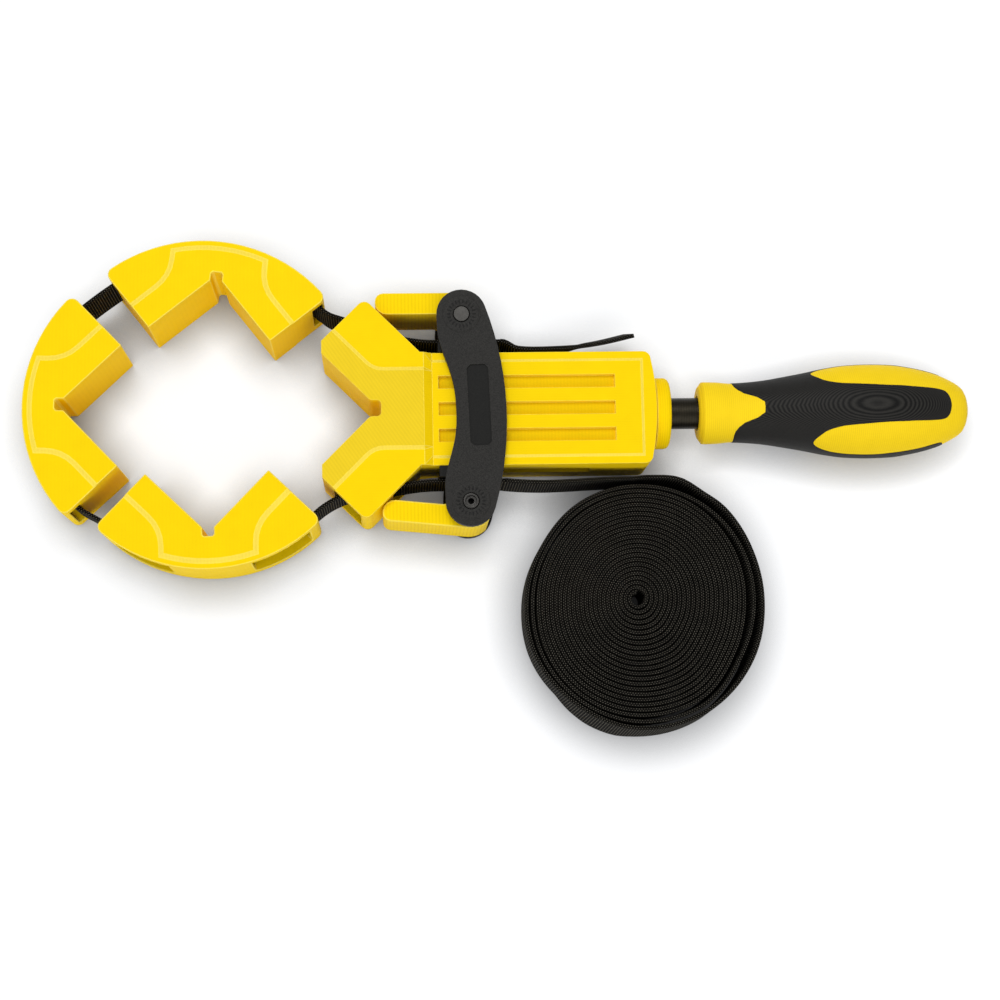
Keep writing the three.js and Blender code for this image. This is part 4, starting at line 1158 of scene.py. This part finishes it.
class CLAMP_OT_finish_yoke(bpy.types.Operator):
    """Works the edges of the yoke plates, and colours the floor of the recess"""
    bl_idname = "clamp.finish_yoke"
    bl_label = "Yoke"

    def execute(self, context):
        edges = context.scene.clamp_edges
        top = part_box("yoke_upper_plate")[1][2] / MM
        for side in ("upper", "lower"):
            piece = finish_node(
                f"yoke_{side}_plate", f"yoke_{side}_cover", edges.yoke,
                ("yoke_dark", "yoke_rim_highlight", "plaque_dark"), "yoke", "dark_plastic")
            if side == "upper":
                self.darken_recess(piece, top)
        for side in ("upper", "lower"):
            low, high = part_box(f"cam_pin_{side}")
            pin_x, pin_y = ((low[i] + high[i]) / 2 / MM for i in (0, 1))
            boss = self.ring(f"yoke_boss_{side}", pin_x, pin_y, top)
            dress(boss, "yoke_dark")
            settle(boss, "yoke", "dark_plastic")
            ticks = self.ticks(f"yoke_ticks_{side}", pin_x, pin_y, top)
            dress(ticks, "plaque_dark")
            settle(ticks, "yoke", "dark_plastic")
        return {"FINISHED"}

    def darken_recess(self, piece, top):
        """Gives the floor of the recess its own material."""
        for face in piece.data.polygons:
            depth = top - face.center.z / MM
            if face.normal.z > 0.9 and RECESS_LEAST < depth < RECESS_MOST:
                face.material_index = 2

    def ring(self, name, x, y, top):
        """A low disc round the pin, turned from its section."""
        count = len(BOSS_SECTION)
        piece = new_piece(
            name, [(x + out, y, top + up) for out, up in BOSS_SECTION],
            edges=[(i, (i + 1) % count) for i in range(count)])
        spin_round(piece, BOSS_SIDES, (x, y, 0), (0, 0, 1))
        smooth(piece, 40)
        return piece

    def ticks(self, name, x, y, top):
        """Short raised ticks in a ring round the pin."""
        place = ((x + TICK_OUT) * MM, y * MM, (top + TICK_UP) * MM)
        bpy.ops.mesh.primitive_cube_add(size=1, location=place)
        piece = bpy.context.object
        piece.name = name
        piece.scale = [side * MM for side in TICK_SIZE]
        bpy.ops.object.transform_apply(location=True, rotation=True, scale=True)
        spin_round(piece, TICK_COUNT, (x, y, 0), (0, 0, 1), dupli=True)
        return piece


class CLAMP_OT_finish_levers(bpy.types.Operator):
    """Works the edges of the cam levers and their pins"""
    bl_idname = "clamp.finish_levers"
    bl_label = "Cam levers and pins"

    def execute(self, context):
        edges = context.scene.clamp_edges
        for side in ("upper", "lower"):
            finish_node(
                f"cam_lever_{side}", f"cam_lever_{side}_moulding", edges.levers,
                ("lever_yellow", "yellow_rim_highlight"), f"{side}_lever", "yellow_plastic", segments=3)
            finish_node(
                f"cam_pin_{side}", f"cam_pin_{side}_turned", edges.metal, ("steel", "steel"),
                "yoke", "steel")
        return {"FINISHED"}


class CLAMP_OT_finish_screw(bpy.types.Operator):
    """Turns the handle's core and spindle, and moulds the soft grip over the core"""
    bl_idname = "clamp.finish_screw"
    bl_label = "Screw and handle"

    def execute(self, context):
        edges, handle = context.scene.clamp_edges, context.scene.clamp_handle
        finish_node(
            "screw_spindle", "screw_spindle_turned", edges.metal, ("black_steel", "black_steel"),
            "screw", "black_steel")

        core = turned_on_screw("handle_core_moulding", self.core_profile(handle), handle.sides)
        smooth(core, 40)
        dress(core, "handle_yellow")
        settle(core, "screw", "yellow_plastic", "handle_core")

        grip = grip_sleeve("handle_grip_sleeve", handle)
        apply_modifier(grip, "SOLIDIFY", thickness=handle.grip_depth, offset=-1.0, use_even_offset=True)
        apply_modifier(
            grip, "BEVEL", width=edges.grip, segments=2, limit_method="ANGLE", angle_limit=math.radians(50))
        smooth(grip, 40)
        dress(grip, "grip")
        settle(grip, "screw", "grip_rubber", "handle_grip")
        return {"FINISHED"}

    def core_profile(self, handle):
        """The core from the end of its bore, round the ferrule's lip and on to the butt."""
        start, end = handle.start / MM, handle.end / MM
        front = handle_radius(handle, start)
        profile = [(SHANK_END, 0), (SHANK_END, SHANK_BORE)]
        profile += [(start + BORE_CHAMFER, SHANK_BORE), (start, SHANK_BORE + BORE_CHAMFER)]
        profile += [(start + along, front - inward) for along, inward in FERRULE_LIP]
        for k in range(1, CORE_STEPS + 1):
            share = k / CORE_STEPS
            if share >= BUTT_SHARE:
                left = 1 - BUTT_SHARE
                share = BUTT_SHARE + left * math.sin(math.pi / 2 * (share - BUTT_SHARE) / left)
            along = start + (end - start) * max(share, CORE_FIRST_SHARE)
            profile.append((along, handle_radius(handle, along) if k < CORE_STEPS else 0))
        return profile


class CLAMP_OT_finish_hardware(bpy.types.Operator):
    """Breaks the edges of the pieces inside the body and the yoke"""
    bl_idname = "clamp.finish_hardware"
    bl_label = "Inner pieces"

    def execute(self, context):
        edges = context.scene.clamp_edges
        steel = [f"assembly_screw_{number}" for number in range(1, 5)]
        yoke_steel = [
            f"pin_spacer_{side}_{end}" for side in ("upper", "lower") for end in ("top", "bottom")]
        groups = (
            (steel + ["thrust_washer_front", "thrust_washer_rear"], "frame", "steel", "steel"),
            (yoke_steel, "yoke", "steel", "steel"),
            (["crosshead_nut"], "yoke", "nut", "nut_metal"),
            (["anvil_upper", "anvil_lower"], "yoke", "plaque_dark", "dark_plastic"),
        )
        for nodes, body, key, slot in groups:
            for node in nodes:
                finish_node(node, f"{node}_finished", edges.metal, (key, key), body, slot)
        return {"FINISHED"}


class CLAMP_PT_panel(bpy.types.Panel):
    """Lists the clamp's pieces, in the order in which they are made"""
    bl_idname = "CLAMP_PT_panel"
    bl_label = "Band clamp"
    bl_space_type = "VIEW_3D"
    bl_region_type = "UI"
    bl_category = "Band clamp"

    def draw(self, context):
        for step in STEPS:
            self.layout.operator(step.bl_idname)


SETTINGS = {
    "clamp_colours": ClampColours,
    "clamp_edges": ClampEdges,
    "clamp_band": ClampBand,
    "clamp_handle": ClampHandle,
    "clamp_stage": ClampStage,
}
STEPS = (
    CLAMP_OT_set_stage,
    CLAMP_OT_wind_coil,
    CLAMP_OT_string_band,
    CLAMP_OT_finish_jaws,
    CLAMP_OT_finish_body,
    CLAMP_OT_finish_yoke,
    CLAMP_OT_finish_levers,
    CLAMP_OT_finish_screw,
    CLAMP_OT_finish_hardware,
)


def register():
    for group in (*SETTINGS.values(), *STEPS, CLAMP_PT_panel):
        bpy.utils.register_class(group)
    for name, group in SETTINGS.items():
        setattr(bpy.types.Scene, name, PointerProperty(type=group))


def unregister():
    for name in SETTINGS:
        delattr(bpy.types.Scene, name)
    for group in (CLAMP_PT_panel, *STEPS, *SETTINGS.values()):
        bpy.utils.unregister_class(group)


def main():
    register()
    for step in STEPS:
        area, name = step.bl_idname.split(".")
        getattr(getattr(bpy.ops, area), name)()


if __name__ == "__main__":
    main()
